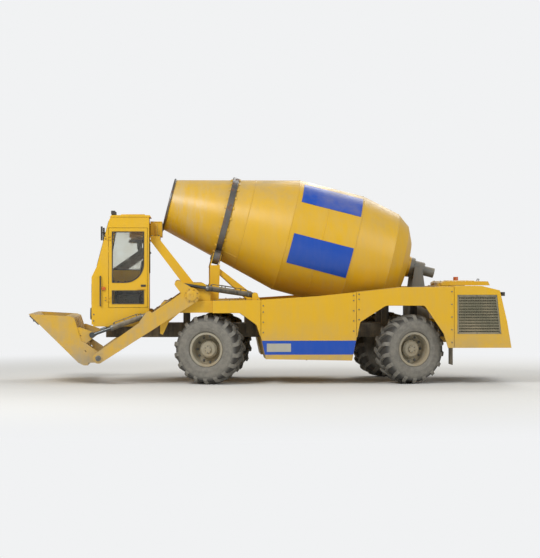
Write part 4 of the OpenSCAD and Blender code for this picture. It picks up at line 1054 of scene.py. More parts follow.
@dataclass
class Drum:
    """Drum on its roller track: weld beads, blades, track wedges, a hatch, bearings and drive bolts."""

    cone_end: float = 1.015
    belly_end: float = 2.090
    rear_end: float = 2.720
    mouth: float = -0.970
    mouth_radius: float = 0.410
    shoulder_radius: float = 0.920
    belly_radius: float = 0.930
    rear_radius: float = 0.795
    track_radius: float = 0.700
    track_width: float = 0.090
    wall: float = 0.008
    wedges: int = 24
    blade_start: float = -0.925
    blade_end: float = 2.05
    blade_turns: float = 2.75
    blade_depth: float = 0.24
    hatch_angle_deg: float = -152.0
    hatch_t: float = 1.56
    hatch_arc_deg: float = 27.0
    hatch_strips: int = 9
    blade_steps: int = 132
    roller_half: float = 0.050
    drive_t: float = 3.170

    def place(self) -> Matrix:
        """Place of the drum's axis: Z towards the rear end, X up, from the middle of the roller track."""
        turn = joint("drum_turn")
        return axis_place(turn["pos_m"], turn["axis"])

    def radius_at(self, t: float) -> float:
        """Finds the outer radius of the drum's wall.

        Args:
            t: Distance behind the roller track.

        Returns:
            The radius.
        """
        ends = ((self.mouth, self.mouth_radius), (self.cone_end, self.shoulder_radius),
                (self.belly_end, self.belly_radius), (self.rear_end, self.rear_radius))
        for (t0, r0), (t1, r1) in zip(ends, ends[1:]):
            if t < t1:
                break
        return r0 + (r1 - r0) * (t - t0) / (t1 - t0)

    def beads(self) -> None:
        """Adds the weld beads between the drum's rolled sections and the rolled edge of its mouth."""
        base = self.place()
        piece = Piece("drum_weld_beads")
        for t in (0.32, self.cone_end, 1.55, self.belly_end, self.rear_end):
            r = self.radius_at(t)
            piece.lathe([(r - 0.004, t - 0.009), (r + 0.0035, t - 0.005), (r + 0.0045, t),
                         (r + 0.0035, t + 0.005), (r - 0.004, t + 0.009)], base)
        for t0, t1, angle in ((-0.93, -0.06, 200), (0.06, 0.31, 140), (0.33, 1.00, 250), (1.03, 1.54, 190),
                              (1.56, 2.08, 300)):
            turn = base @ Matrix.Rotation(math.radians(angle), 4, "Z")
            ends = [turn @ Vector((self.radius_at(t), 0, t)) for t in (t0, t1)]
            piece.rod(*ends, 0.005, segments=8)
        piece.done(DRUM_YELLOW, "drum")
        lip = Piece("drum_mouth_ring")
        edge, r = self.mouth, self.mouth_radius
        lip.lathe([(r + 0.018, edge + 0.034), (r + 0.026, edge + 0.030), (r + 0.029, edge + 0.016),
                   (r + 0.024, edge + 0.004), (r + 0.016, edge - 0.001), (r - 0.004, edge - 0.001),
                   (r - 0.006, edge + 0.006), (r + 0.012, edge + 0.034)], base)
        lip.done(WORN_STEEL, "drum")

    def track(self) -> None:
        """Adds the wedges that hold the roller track on the cone, and the track's turned shoulders."""
        base = self.place()
        piece = Piece("track_wedges")
        half = self.track_width / 2
        for index in range(self.wedges):
            turn = base @ Matrix.Rotation(math.tau * index / self.wedges, 4, "Z")
            for side in (-1, 1):
                root, toe = side * half, side * (half + 0.040)
                low, high = self.radius_at(root), self.radius_at(toe)
                corners = ((low - 0.010, root), (high - 0.010, toe), (high + 0.006, toe), (low + 0.020, root))
                piece.plate(side_view(corners, -0.022), (0, 0.044, 0), 2.0, turn)
        piece.done(DRUM_YELLOW, "drum")
        rings = Piece("track_shoulders")
        r = self.track_radius
        for side in (-1, 1):
            rings.lathe([(r - 0.014, side * (half - 0.001)), (r - 0.003, side * (half - 0.001)),
                         (r - 0.006, side * (half + 0.003)), (r - 0.014, side * (half + 0.003))], base)
        rings.done(WORN_STEEL, "drum")

    def blades(self) -> None:
        """Adds the two spiral blades that carry the concrete to the mouth, with their rolled inner edge."""
        base = self.place()
        piece = Piece("drum_spiral_blades")
        rise = (self.blade_end - self.blade_start) / self.blade_steps
        for start in (0.0, math.pi):
            turned = Matrix.Rotation(start, 3, "Z")
            pair = [piece.mesh.verts.new(turned @ Vector((r, 0, self.blade_start))) for r in (0.3, 0.5)]
            edge = piece.mesh.edges.new(pair)
            before = set(piece.mesh.verts) - set(pair)
            bmesh.ops.spin(piece.mesh, geom=pair + [edge], cent=(0, 0, 0), axis=(0, 0, 1),
                           dvec=(0, 0, rise), angle=math.tau * self.blade_turns,
                           steps=self.blade_steps)
            made = [v for v in piece.mesh.verts if v not in before]
            for v in made:
                inner = math.hypot(v.co.x, v.co.y) < 0.4
                depth = self.blade_depth * (0.62 + 0.38 * min(1.0, (v.co.z - self.blade_start) / 0.9))
                radius = self.radius_at(v.co.z) - self.wall - 0.0005 - (depth if inner else 0.0)
                v.co = polar(radius, math.atan2(v.co.y, v.co.x), v.co.z - (0.04 if inner else 0.0))
            faces = list({f for v in made for f in v.link_faces})
            bmesh.ops.solidify(piece.mesh, geom=faces, thickness=0.006)
            piece.placed([v for v in piece.mesh.verts if v not in before], base)
        piece.done(CHUTE_STEEL, "drum", "drum_paint")

    def hatch(self) -> None:
        """Adds the bolted hatch in the belly, with its two handles."""
        turn = self.place() @ Matrix.Rotation(math.radians(self.hatch_angle_deg), 4, "Z")
        mid, radius, strips = self.hatch_t, self.radius_at(self.hatch_t), self.hatch_strips
        piece = Piece("drum_hatch")
        arc = math.radians(self.hatch_arc_deg)
        for index in range(strips):
            a = arc * ((index + 0.5) / strips - 0.5)
            width = radius * arc / strips / 2 + 0.0006
            piece.block((-0.004, -width, -0.26), (0.012, width, 0.26), 0.0,
                        turn @ Matrix.Translation((0, 0, mid)) @ Matrix.Rotation(a, 4, "Z")
                        @ Matrix.Translation((radius, 0, 0)))
        bmesh.ops.remove_doubles(piece.mesh, verts=piece.mesh.verts, dist=0.0015)
        for index in range(7):
            a = arc * (index / 6 - 0.5) * 0.86
            for t in (-0.235, 0.235):
                piece.bolt(turn @ polar(radius + 0.012, a, mid + t), turn.to_3x3() @ polar(1.0, a), 22)
        for t in (-0.12, 0.12):
            feet = [Vector((radius + 0.010, y, mid + t)) for y in (-0.06, 0.06)]
            tops = [f + Vector((0.045, 0, 0)) for f in feet]
            piece.tube([turn @ p for p in (feet[0], tops[0], tops[1], feet[1])], 0.007, bend=0.02)
        piece.done(DRUM_YELLOW, "drum")

    def bearings(self) -> None:
        """Adds the bearing caps of the two support rollers and the bolts of the drum's drive."""
        piece = Piece("roller_bearings")
        for word in ("left", "right"):
            turn = joint(f"roller_{word}_turn")
            base = axis_place(turn["pos_m"], turn["axis"])
            for side in (-1, 1):
                face = side * (self.roller_half + 0.020)
                step = side * 0.009
                piece.lathe([(0.0262, face), (0.052, face), (0.052, face + step), (0.040, face + 1.3 * step),
                             (0.0262, face + 1.3 * step)], base, segments=32)
                piece.bolt_ring(base, 0.062, face, 4, 16, offset=0.5, sense=side)
        piece.done(CAST_IRON)
        drive = Piece("drum_drive_bolts")
        drive.bolt_ring(self.place(), 0.148, self.drive_t, 16, 22)
        drive.bolt_ring(self.place(), 0.106, self.drive_t + 0.180, 8, 16, offset=0.5)
        drive.done(BOLT_STEEL)

    def build(self) -> None:
        """Builds all that the drum gets."""
        self.beads()
        self.blades()
        self.track()
        self.hatch()
        self.bearings()


# Body panels


@dataclass
class Body(OnChassis):
    """Side stripe, fasteners, fillers, latches, tread plates and edges of the body panels."""

    side: float = 1.220
    stripe_low: float = 0.470
    stripe_high: float = 0.690
    stripe_front: tuple[float, float] = (-0.770, -0.723)
    stripe_rear: tuple[float, float] = (-2.163, -2.207)
    patch: tuple[float, float] = (-0.800, -1.180)
    sheet_mm: float = 1.2
    wall: float = 0.025
    front_arch: tuple = ((0.050, 1.130), (-0.380, 1.133), (-0.642, 0.943), (-0.704, 0.761))
    rear_arch: tuple = ((0.767, 0.742), (0.719, 0.984), (0.306, 1.246), (-0.311, 1.246), (-0.617, 0.801),
                        (-0.687, 0.571))
    grille_x: tuple[float, float, float] = (-0.832, -1.525, -1.464)
    grille_z: tuple[float, float] = (0.796, 1.404)
    mesh_pitch: float = 0.022
    mesh_wire: float = 0.0013
    deck_z: float = 1.3183
    deck_slope: float = 0.0223
    hood_top: float = 1.620
    flap_face: float = -0.748

    def deck(self, x: float) -> float:
        """Height of the front fenders' top at a distance from the front axle."""
        return self.deck_z - x * self.deck_slope

    def stripe(self) -> None:
        """Adds the bare blue stripe and its blank off-white patch on both sides."""
        thick = self.sheet_mm * MM
        for side in Side:
            word, s = side.name.lower(), side.value
            y = s * (self.side + 0.0002)
            outline = ((self.stripe_front[0], self.stripe_low), (self.stripe_front[1], self.stripe_high),
                       (self.stripe_rear[1], self.stripe_high), (self.stripe_rear[0], self.stripe_low))
            band = Piece(f"blue_stripe_{word}")
            band.plate(side_view(outline, y, self.front_axle), (0, s * thick, 0))
            band.done(PANEL_BLUE)
            plate = Piece(f"blank_patch_{word}")
            (ahead, behind), low, high = self.patch, self.stripe_low + 0.045, self.stripe_high - 0.045
            outline = ((ahead, low), (ahead, high), (behind, high), (behind, low))
            plate.plate(side_view(outline, y + s * thick, self.front_axle), (0, s * thick, 0))
            plate.done(PATCH_WHITE)

    def arch_edges(self) -> None:
        """Adds the rolled edges along the wheel arches."""
        piece = Piece("rolled_arch_edges")
        for side in Side:
            y = side.value * (self.side - 0.006)
            for arch, axle in ((self.front_arch, self.front_axle), (self.rear_arch, self.rear_axle)):
                piece.tube(side_view(arch, y, axle), 0.0085, segments=8, bend=0.03)
        piece.done(YELLOW)

    def fasteners(self) -> None:
        """Adds the bolts along the panel seams, the tail and the deck."""
        piece = Piece("panel_bolts")
        for side in Side:
            s = side.value
            out = (0, s, 0)
            for z in (0.82, 0.98, 1.14, 1.24):
                piece.bolt(self.at(-0.745, s * self.side, z), out, 18)
            for z in (0.84, 1.00, 1.16, 1.32, 1.40):
                piece.bolt(self.at(-2.170, s * self.side, z), out, 18)
                piece.bolt((self.rear_axle + 0.730, s * self.side, z + 0.02), out, 18)
            for z in (0.66, 0.86, 1.06, 1.26, 1.46):
                piece.bolt((self.rear_axle - 0.742, s * self.side, z), out, 18)
            for x in (0.02, -0.22, -0.46, -0.66):
                piece.bolt(self.at(x, s * 1.17, self.deck(x)), (0.022, 0, 1), 18)
        piece.done(BOLT_STEEL)

    def grille_frames(self) -> None:
        """Adds the wire mesh and the bolted frames of the two side grilles."""
        for side in Side:
            word, s = side.name.lower(), side.value
            mesh = Piece(f"grille_mesh_{word}")
            x_front, x_low, x_high = (self.rear_axle + x for x in self.grille_x)
            foot, top = self.grille_z
            y, pitch, wire = s * (self.side - 0.009), self.mesh_pitch, self.mesh_wire
            lean = (x_high - x_low) / (top - foot)
            for index in range(1, int((x_front - x_low) / pitch)):
                x = x_front - index * pitch
                mesh.rod((x, y, foot), (x, y, min(top, foot + (x - x_low) / lean)), wire, segments=5)
            for index in range(1, int((top - foot) / pitch)):
                rise = index * pitch
                mesh.rod((x_front, y, foot + rise), (x_low + lean * rise, y, foot + rise), wire, segments=5)
            mesh.done(MESH_GREY)
            screen = Piece(f"dust_screen_{word}")
            back = s * (self.side - self.wall - 0.0005)
            outline = ((-0.791, 0.778), (-0.791, 1.422), (-1.474, 1.422), (-1.544, 0.778))
            screen.plate(side_view(outline, back, self.rear_axle), (0, -s * 0.004, 0))
            screen.done(SCREEN)
            bolts = Piece(f"grille_bolts_{word}")
            for x, z in ((-0.845, 0.81), (-0.845, 1.10), (-0.845, 1.39), (-1.14, 0.805), (-1.14, 1.395),
                         (-1.505, 0.81), (-1.478, 1.10), (-1.445, 1.39)):
                bolts.bolt((self.rear_axle + x, s * (self.side - 0.0062), z), (0, s, 0), 15)
            bolts.done(BOLT_STEEL)

    def hood(self) -> None:
        """Adds the hood's louvres, grab handle, latches and hinge bolts."""
        piece = Piece("hood_louvres")
        top = self.hood_top
        hump = ((0, top - 0.002), (-0.034, top - 0.002), (-0.030, top + 0.010), (-0.024, top + 0.013))
        for index in range(8):
            for start in (-0.40, 0.06):
                corners = side_view(hump, start, self.rear_axle - 0.83 - 0.052 * index)
                piece.plate(corners, (0, 0.34, 0), 1.2)
        piece.done(YELLOW, "engine_hood")
        hardware = Piece("hood_handle_and_latches")
        back = self.rear_axle - 1.415
        grip = ((0.06, -0.09, 0), (0.055, -0.09, 0.035), (0.055, 0.09, 0.035), (0.06, 0.09, 0))
        hardware.tube([(back + x, y, top + z) for x, y, z in grip], 0.007, bend=0.02)
        for latch in (-0.42, 0.42):
            hardware.block((back - 0.012, latch - 0.02, 1.568), (back + 0.004, latch + 0.02, 1.606), 2.0)
            hardware.rod((back - 0.016, latch - 0.014, 1.590), (back - 0.016, latch + 0.014, 1.590), 0.006)
        for y in (-0.39, -0.33, 0.33, 0.39):
            hardware.bolt((self.rear_axle - 0.685, y, 1.6185), (0.3, 0, 1), 14)
        hardware.done(BOLT_STEEL, "engine_hood")

    def fillers(self) -> None:
        """Adds the caps, with their grips, and the drain plugs of the side tanks."""
        piece = Piece("tank_fittings")
        for side in Side:
            s = side.value
            x = self.front_axle - 1.05
            y = s * 0.86
            piece.lathe([(0.0, 0.0), (0.052, 0.0), (0.052, 0.012), (0.046, 0.012), (0.046, 0.040),
                         (0.040, 0.046), (0.0, 0.048)], Matrix.Translation((x, y, 1.1695)), segments=32,
                        closed=False)
            piece.block((x - 0.048, y - 0.006, 1.216), (x + 0.048, y + 0.006, 1.224), 2.0)
            piece.bolt(self.at(-1.45, s * 0.9, 0.3895), (0, 0, -1), 34)
        piece.done(PLASTIC)

    def flap_bars(self) -> None:
        """Adds the steel bars and bolts that clamp the rubber flaps behind the rear wheels."""
        piece = Piece("flap_clamp_bars")
        face = self.rear_axle + self.flap_face
        for side in Side:
            s = side.value
            low, high = sorted((s * 0.816, s * 1.184))
            piece.block((face - 0.0005, low, 0.634), (face + 0.005, high, 0.676), 1.5)
            for y in (0.85, 0.93, 1.00, 1.07, 1.15):
                piece.bolt((face + 0.005, s * y, 0.655), (1, 0, 0), 16)
        piece.done(BOLT_STEEL)

    def deck_plates(self) -> None:
        """Adds the raised tread bars on the fender tops, where the crew climbs."""
        piece = Piece("deck_tread_bars")
        for side in Side:
            for row in range(6):
                for column in range(3):
                    x = -0.30 - 0.055 * row
                    spot = self.at(x, side.value * (0.70 + 0.11 * column), self.deck(x) - 0.0012)
                    turn = Matrix.Rotation(math.radians(45 if (row + column) % 2 else -45), 4, "Z")
                    piece.block((-0.022, -0.005, 0.0), (0.022, 0.005, 0.0045), 1.2,
                                Matrix.Translation(spot) @ turn)
        piece.done(YELLOW)

    def build(self) -> None:
        """Builds all that the body panels get."""
        for step in (self.stripe, self.arch_edges, self.fasteners, self.grille_frames, self.hood,
                     self.fillers, self.flap_bars, self.deck_plates):
            step()


# Loader


@dataclass
class Loader(OnChassis):
    """Pin caps, doubler plates, pipes and glands of the loader's arms, and the bucket's wear parts."""

    arm_out: float = 1.200
    cyl_y: float = 1.060
    pin_radius: float = 0.030
    lift_length: float = 0.780
    tilt_length: float = 0.640
    gland_radius: float = 0.0475
    lip: tuple[float, float] = (2.935, 1.110)
    heel: tuple[float, float] = (2.160, 0.345)
    bucket_half: float = 1.050

    def arm_pins(self) -> None:
        """Adds the doublers and bolted caps at the arms' pivots, and the caps of the bucket's pins."""
        pivot, bucket = Vector(joint("arm_lift")["pos_m"]), Vector(joint("bucket_tilt")["pos_m"])
        caps, keepers = Piece("arm_pivot_caps"), Piece("bucket_pin_keepers")
        for side in Side:
            s = side.value
            base = axis_place((pivot.x, s * self.arm_out, pivot.z), (0, s, 0))
            caps.lathe([(0.0, -0.002), (0.112, -0.002), (0.112, 0.006), (0.084, 0.006), (0.084, 0.018),
                        (0.070, 0.024), (0.030, 0.024), (0.026, 0.018), (0.0, 0.018)], base, segments=48,
                       closed=False)
            caps.bolt_ring(base, 0.098, 0.006, 8, 16, offset=0.5)
            base = axis_place((bucket.x, s * (self.arm_out - 0.001), bucket.z), (0, s, 0))
            bore = self.pin_radius + 0.001
            caps.lathe([(bore, 0.0), (0.066, 0.0), (0.066, 0.007), (bore, 0.007)], base, segments=40)
            base = axis_place((bucket.x, s * (self.arm_out + 0.0118), bucket.z), (0, s, 0))
            keepers.lathe([(0.0, 0.0), (0.044, 0.0), (0.044, 0.007), (0.038, 0.010), (0.0, 0.010)], base,
                          segments=32, closed=False)
            for x in (-0.020, 0.020):
                keepers.bolt(base @ Vector((x, 0, 0.010)), (0, s, 0), 16)
        caps.done(ARM_YELLOW, "arms")
        keepers.done(BOLT_STEEL, "bucket")

    def cylinder(self, barrel: str, rod: str, length: float) -> None:
        """Adds the gland nuts, collars, ports and steel pipes of one pair of cylinders.

        Args:
            barrel: Body of the barrels.
            rod: Body of the rods.
            length: Length of a barrel from its eye to its gland.
        """
        foot = Vector(joint(barrel.replace("barrels", "barrel") + "_turn")["pos_m"])
        run = Vector(joint(rod.replace("rods", "rod") + "_slide")["axis"]).normalized()
        glands, pipes = Piece(f"{barrel}_glands"), Piece(f"{barrel}_pipes")
        for side in Side:
            s = side.value
            base = axis_place((foot.x, s * self.cyl_y, foot.z), run)
            glands.lathe([(0.0262, length - 0.040), (self.gland_radius, length - 0.040),
                          (self.gland_radius, length - 0.004), (self.gland_radius - 0.005, length + 0.004),
                          (0.030, length + 0.006), (0.0262, length + 0.003)], base, segments=40)
            glands.lathe([(0.0415, 0.094), (0.0455, 0.094), (0.0455, 0.112), (0.0415, 0.112)], base,
                         segments=40)
            rear_port, front_port = 0.125, length - 0.075
            for t in (rear_port, front_port):
                glands.rod(base @ Vector((0.036, 0, t)), base @ Vector((0.062, 0, t)), 0.013, segments=12)
                glands.rod(base @ Vector((0.052, 0, t)), base @ Vector((0.062, 0, t)), 0.016, segments=6)
            pipes.tube([base @ Vector(p) for p in (
                (0.060, 0, front_port), (0.071, 0, front_port), (0.071, 0, rear_port + 0.03),
                (0.050, 0.016, rear_port + 0.025))], 0.006, segments=8, bend=0.02)
            for t in (0.3 * length, 0.62 * length):
                pipes.block((0.038, -0.010, t - 0.008), (0.079, 0.010, t + 0.008), 2.0, base)
        glands.done(BOLT_STEEL, barrel)
        pipes.done(CHASSIS_BLACK, barrel)

    def arm_pipes(self) -> None:
        """Adds the pair of steel pipes along the top of each arm, with their clamps."""
        piece = Piece("arm_pipes")
        pivot = Vector(joint("arm_lift")["pos_m"])
        pin = Vector(joint("bucket_tilt")["pos_m"])
        run = (pin - pivot).normalized()
        up = Vector((-run.z, 0, run.x))
        for side in Side:
            for y in (1.156, 1.178):
                y *= side.value
                start = pivot + run * 0.30 + up * 0.108
                stop = pivot + run * 0.72 + up * 0.104
                path = [start, start + up * 0.016, stop + up * 0.016, stop]
                piece.tube([(p.x, y, p.z) for p in path], 0.007, segments=8, bend=0.02)
            for along in (0.40, 0.60):
                spot = pivot + run * along + up * 0.104
                turn = axis_place((spot.x, side.value * 1.167, spot.z), up, up=run)
                piece.block((-0.012, -0.026, 0.0), (0.012, 0.026, 0.030), 2.0, turn)
        piece.done(CHASSIS_BLACK, "arms")

    def bucket(self) -> None:
        """Adds the cutting edge with its plough bolts, and the ribs on the back and under the floor."""
        x0 = self.front_axle
        lip, heel = Vector((x0 + self.lip[0], 0, self.lip[1])), Vector((x0 + self.heel[0], 0, self.heel[1]))
        run = (lip - heel).normalized()
        out = Vector((run.z, 0, -run.x))
        edge = Piece("bucket_cutting_edge")
        half = self.bucket_half
        corners = [lip - run * 0.022, lip - run * 0.235, lip - run * 0.225 + out * 0.018,
                   lip - run * 0.034 + out * 0.018]
        edge.plate([(p.x, -half, p.z) for p in corners], (0, 2 * half, 0), 1.5)
        spot = lip - run * 0.13 + out * 0.018
        for index in range(11):
            edge.bolt((spot.x, -half + 0.10 + index * (2 * half - 0.20) / 10, spot.z), out, 30)
        edge.done(WORN_STEEL, "bucket")
        ribs = Piece("bucket_ribs")
        back = ((1.9985, 0.370), (2.111, 0.694), (2.222, 1.040), (2.211, 1.036), (2.100, 0.694),
                (1.9875, 0.374))
        floor = [heel + run * 0.10, heel + run * 0.70, heel + run * 0.70 + out * 0.012,
                 heel + run * 0.10 + out * 0.012]
        for y in (-0.78, -0.39, 0.0, 0.39, 0.78):
            ribs.plate(side_view(back, y - 0.03, x0), (0, 0.06, 0), 1.5)
            ribs.plate([(p.x, y - 0.035, p.z) for p in floor], (0, 0.07, 0), 1.5)
        ribs.done(ARM_YELLOW, "bucket")

    def build(self) -> None:
        """Builds all that the loader gets."""
        self.arm_pins()
        self.cylinder("lift_barrels", "lift_rods", self.lift_length)
        self.cylinder("tilt_barrels", "tilt_rods", self.tilt_length)
        self.arm_pipes()
        self.bucket()


# Hopper and chute


@dataclass
class Hopper(OnChassis):
    """Rolled edges, ribs and bolts of the hopper, and the rails of the swinging chute."""

    back: float = 0.845
    front: float = 1.035
    half: float = 0.420
    low: float = 2.340
    top: float = 2.575
    apron: float = 2.420
    trough_length: float = 0.680
    trough_radius: float = 0.143
    trough_slope_deg: float = 35.0

    def edges(self) -> None:
        """Adds the rolled top edge, the ribs and the bolts of the hopper."""
        piece = Piece("hopper_rolled_edge")
        front, half, inner = self.front - 0.005, self.half, self.half - 0.005
        piece.tube([self.at(self.back, half, self.top), self.at(front, inner, self.top),
                    self.at(front, -inner, self.top), self.at(self.back, -half, self.top)], 0.010, bend=0.02)
        dip = self.apron + 0.004
        piece.tube([self.at(self.back + 0.005, y, z) for y, z in (
            (inner, self.top), (inner, dip), (-inner, dip), (-inner, self.top))], 0.009, bend=0.02)
        low, high = self.low + 0.01, self.top - 0.02
        for y in (-0.10, 0.14, 0.34):
            piece.block(self.at(self.front - 0.001, y - 0.020, low),
                        self.at(self.front + 0.018, y + 0.020, high), 2.0)
        for y in (-half, half):
            piece.block(self.at(0.92, y - 0.010, low), self.at(0.96, y + 0.010, high), 2.0)
        piece.done(DRUM_YELLOW, "root", "yellow_paint")
        bolts = Piece("portal_bolts")
        for s in (-1, 1):
            for x in (0.90, 1.01):
                bolts.bolt(self.at(x, s * 0.69, 2.341), (0, 0, 1), 26)
        bolts.done(BOLT_STEEL)

    def chute(self) -> None:
        """Adds the rolled rims, the grab bars and the pivot bolts of the chute."""
        pivot = Vector(joint("chute_tilt")["pos_m"])
        base = Matrix.Translation(pivot) @ Matrix.Rotation(math.radians(self.trough_slope_deg), 4, "Y")
        rails = Piece("chute_rails")
        r, z = self.trough_radius, -0.040
        for s in (-1, 1):
            rails.tube([base @ Vector((x, s * r, z)) for x in (-0.105, 0.2, self.trough_length - 0.004)],
                       0.008, segments=8)
        rails.done(CHUTE_STEEL, "chute_trough")
        bars = Piece("chute_grab_bars")
        for s in (-1, 1):
            bars.tube([base @ Vector((x, s * (r + reach), z - 0.03)) for x, reach in (
                (0.34, 0.004), (0.34, 0.050), (0.52, 0.050), (0.52, 0.004))], 0.008, bend=0.03)
            bars.bolt(base @ Vector((0, s * 0.185, 0)), (0, s, 0), 24)
        bars.done(CHASSIS_BLACK, "chute_trough")

    def build(self) -> None:
        """Builds all that the hopper and the chute get."""
        self.edges()
        self.chute()


# Cab


@dataclass
class Cab(OnChassis):
    """Window rubbers, wiper, handles, instruments, levers and the operator's seat."""

    width: float = 0.970
    back: float = 1.050
    front: float = 1.955
    door_window_x: tuple[float, float] = (1.128, 1.634)
    door_windows: tuple = ((1.600, 2.410), (1.265, 1.480))
    corner_radius: float = 0.300
    floor: float = 0.980
    seat_x: float = 1.330
    seat_y: tuple[float, float] = (0.250, 0.720)

    def rubber(self, piece: Piece, corners: Sequence[Vector], out: Vector, grip: float = 0.016) -> None:
        """Adds the rubber channel round one pane.

        Args:
            piece: Piece that gets the channel.
            corners: Corners of the window's opening.
            out: Direction out of the cab.
            grip: Width of the channel.
        """
        face = piece.mesh.faces.new([piece.mesh.verts.new(c - out * 0.004) for c in corners])
        face.normal_update()
        ring = bmesh.ops.inset_region(piece.mesh, faces=[face], thickness=grip, use_boundary=True,
                                      use_even_offset=True)["faces"]
        bmesh.ops.delete(piece.mesh, geom=[face], context="FACES_ONLY")
        grown = bmesh.ops.extrude_face_region(piece.mesh, geom=ring, use_keep_orig=True)["geom"]
        far = [g for g in grown if isinstance(g, bmesh.types.BMVert)]
        bmesh.ops.translate(piece.mesh, vec=out * 0.012, verts=far)

    def windows(self) -> None:
        """Adds the rubber channels of every pane, those of the door on the door."""
        door = Piece("door_window_rubbers")
        x0, x1 = self.door_window_x
        for index, (z0, z1) in enumerate(self.door_windows):
            corner = [(x0, z0)]
            if index == 0:
                r = self.corner_radius
                turns = [math.radians(a) for a in range(180, 271, 9)]
                corner = [(x0 + r + r * math.cos(a), z0 + r + r * math.sin(a)) for a in turns]
            outline = [*corner, (x1, z0), (x1, z1), (x0, z1)]
            self.rubber(door, [self.at(x, self.width, z) for x, z in outline], Vector((0, 1, 0)))
        door.done(RUBBER_TRIM, "cab_door")
        cab = Piece("cab_window_rubbers")
        wide, low, high = (0.120, 0.850), Vector((1.864, 0, 1.890)), Vector((1.685, 0, 2.570))
        rise = (high - low).normalized()
        panes = [([(x, 0.0, z) for x, z in ((1.130, 1.800), (1.720, 1.800), (1.610, 2.450), (1.130, 2.450))],
                  Vector((0, -1, 0)))]
        for x, z0, z1, out in ((self.back, 1.750, 2.230, -1), (self.front, 1.250, 1.580, 1)):
            corners = [(x, wide[0], z0), (x, wide[1], z0), (x, wide[1], z1), (x, wide[0], z1)]
            panes.append((corners, Vector((out, 0, 0))))
        corners = [(p.x, y, p.z) for p, y in ((low, 0.070), (low, 0.900), (high, 0.900), (high, 0.070))]
        panes.append((corners, Vector((rise.z, 0, -rise.x))))
        for corners, out in panes:
            self.rubber(cab, [self.at(*corner) for corner in corners], out)
        cab.done(RUBBER_TRIM)

    def wiper(self) -> None:
        """Adds the wiper, parked along the lower edge of the windscreen."""
        piece = Piece("windscreen_wiper")
        rise = Vector((-0.2546, 0, 0.9671))
        out = Vector((rise.z, 0, -rise.x))
        hub = self.at(1.866, 0.485, 1.872)
        piece.rod(hub, hub + out * 0.030, 0.016, 0.012, segments=16)
        tip = hub + out * 0.024 + Vector((0, -0.20, 0)) + rise * 0.075
        piece.tube([hub + out * 0.024, hub + out * 0.024 + Vector((0, -0.06, 0)) + rise * 0.012, tip], 0.005)
        blade = [tip + rise * 0.004 + Vector((0, y, 0)) - out * 0.008 for y in (-0.22, 0.22)]
        piece.tube([blade[0], (blade[0] + blade[1]) / 2, blade[1]], 0.006, segments=8)
        piece.done(PLASTIC)

    def fittings(self) -> None:
        """Adds the grab rail, the door lock, the nose indicator, the roof hatch and the bolts."""
        rails = Piece("cab_grab_rail")
        rails.tube([self.at(1.815, self.width + out, z) for out, z in (
            (-0.001, 1.240), (0.045, 1.240), (0.045, 1.700), (-0.001, 1.700))], 0.012, segments=12)
        rails.done(CHASSIS_BLACK)
        lock = Piece("door_lock")
        lock.block(self.at(1.100, self.width - 0.001, 1.537),
                   self.at(1.180, self.width + 0.006, 1.571), 2.0)
        lock.rod(self.at(1.140, self.width + 0.005, 1.554), self.at(1.140, self.width + 0.013, 1.554), 0.012)
        lock.done(PLASTIC, "cab_door")
        lamp = Piece("nose_indicator")
        lamp.block(self.at(1.735, self.width - 0.002, 1.485),
                   self.at(1.795, self.width + 0.026, 1.535), 6.0)
        lamp.done(LENS_AMBER)
        hatch = Piece("cab_roof_hatch")
        hatch.block(self.at(1.12, 0.24, 2.667), self.at(1.50, 0.73, 2.690), 8.0)
        hatch.done(YELLOW)
        seams = Piece("cab_bolts")
        for x in (1.075, 1.92):
            for z in (1.00, 1.10):
                seams.bolt(self.at(x, self.width, z), (0, 1, 0), 18)
        for z in (1.318, 1.366, 2.288, 2.336):
            seams.bolt(self.at(1.735, self.width, z), (0, 1, 0), 12)
        seams.done(BOLT_STEEL)

    def dashboard(self) -> None:
        """Adds the instrument binnacle, its dials, the levers and the pedals."""
        desk = Piece("instrument_binnacle")
        desk.block(self.at(1.70, 0.30, 1.60), self.at(1.86, 0.66, 1.70), 12.0)
        desk.block(self.at(1.20, 0.060, 1.10), self.at(1.62, 0.175, 1.46), 14.0)
        desk.block(self.at(1.20, 0.790, 1.10), self.at(1.55, 0.885, 1.40), 14.0)
        desk.done(PLASTIC)
        dials = Piece("dials")
        for y in (0.37, 0.48, 0.59):
            dials.rod(self.at(1.704, y, 1.65), self.at(1.694, y, 1.652), 0.034, segments=24)
        dials.done(LENS_CLEAR)
        levers = Piece("control_levers")
        for x, y, lean in ((1.28, 0.12, 0.02), (1.36, 0.12, 0.03), (1.44, 0.12, 0.01), (1.52, 0.12, 0.04),
                           (1.30, 0.84, -0.02), (1.42, 0.84, 0.03)):
            foot = self.at(x, y, 1.44 if y < 0.5 else 1.38)
            top = foot + Vector((lean, 0, 0.17))
            levers.rod(foot, top, 0.006, segments=10)
            ball = bmesh.ops.create_uvsphere(levers.mesh, u_segments=14, v_segments=8, radius=0.017)["verts"]
            bmesh.ops.translate(levers.mesh, vec=top, verts=ball)
        for y in (0.34, 0.62):
            levers.plate([self.at(x, y + half, z) for x, half, z in (
                (1.80, -0.04, 1.02), (1.80, 0.04, 1.02), (1.84, 0.04, 1.12), (1.84, -0.04, 1.12))],
                (0.010, 0, -0.004), 2.0)
            levers.rod(self.at(1.83, y, 1.07), self.at(1.87, y, 0.985), 0.008)
        levers.done(PLASTIC)

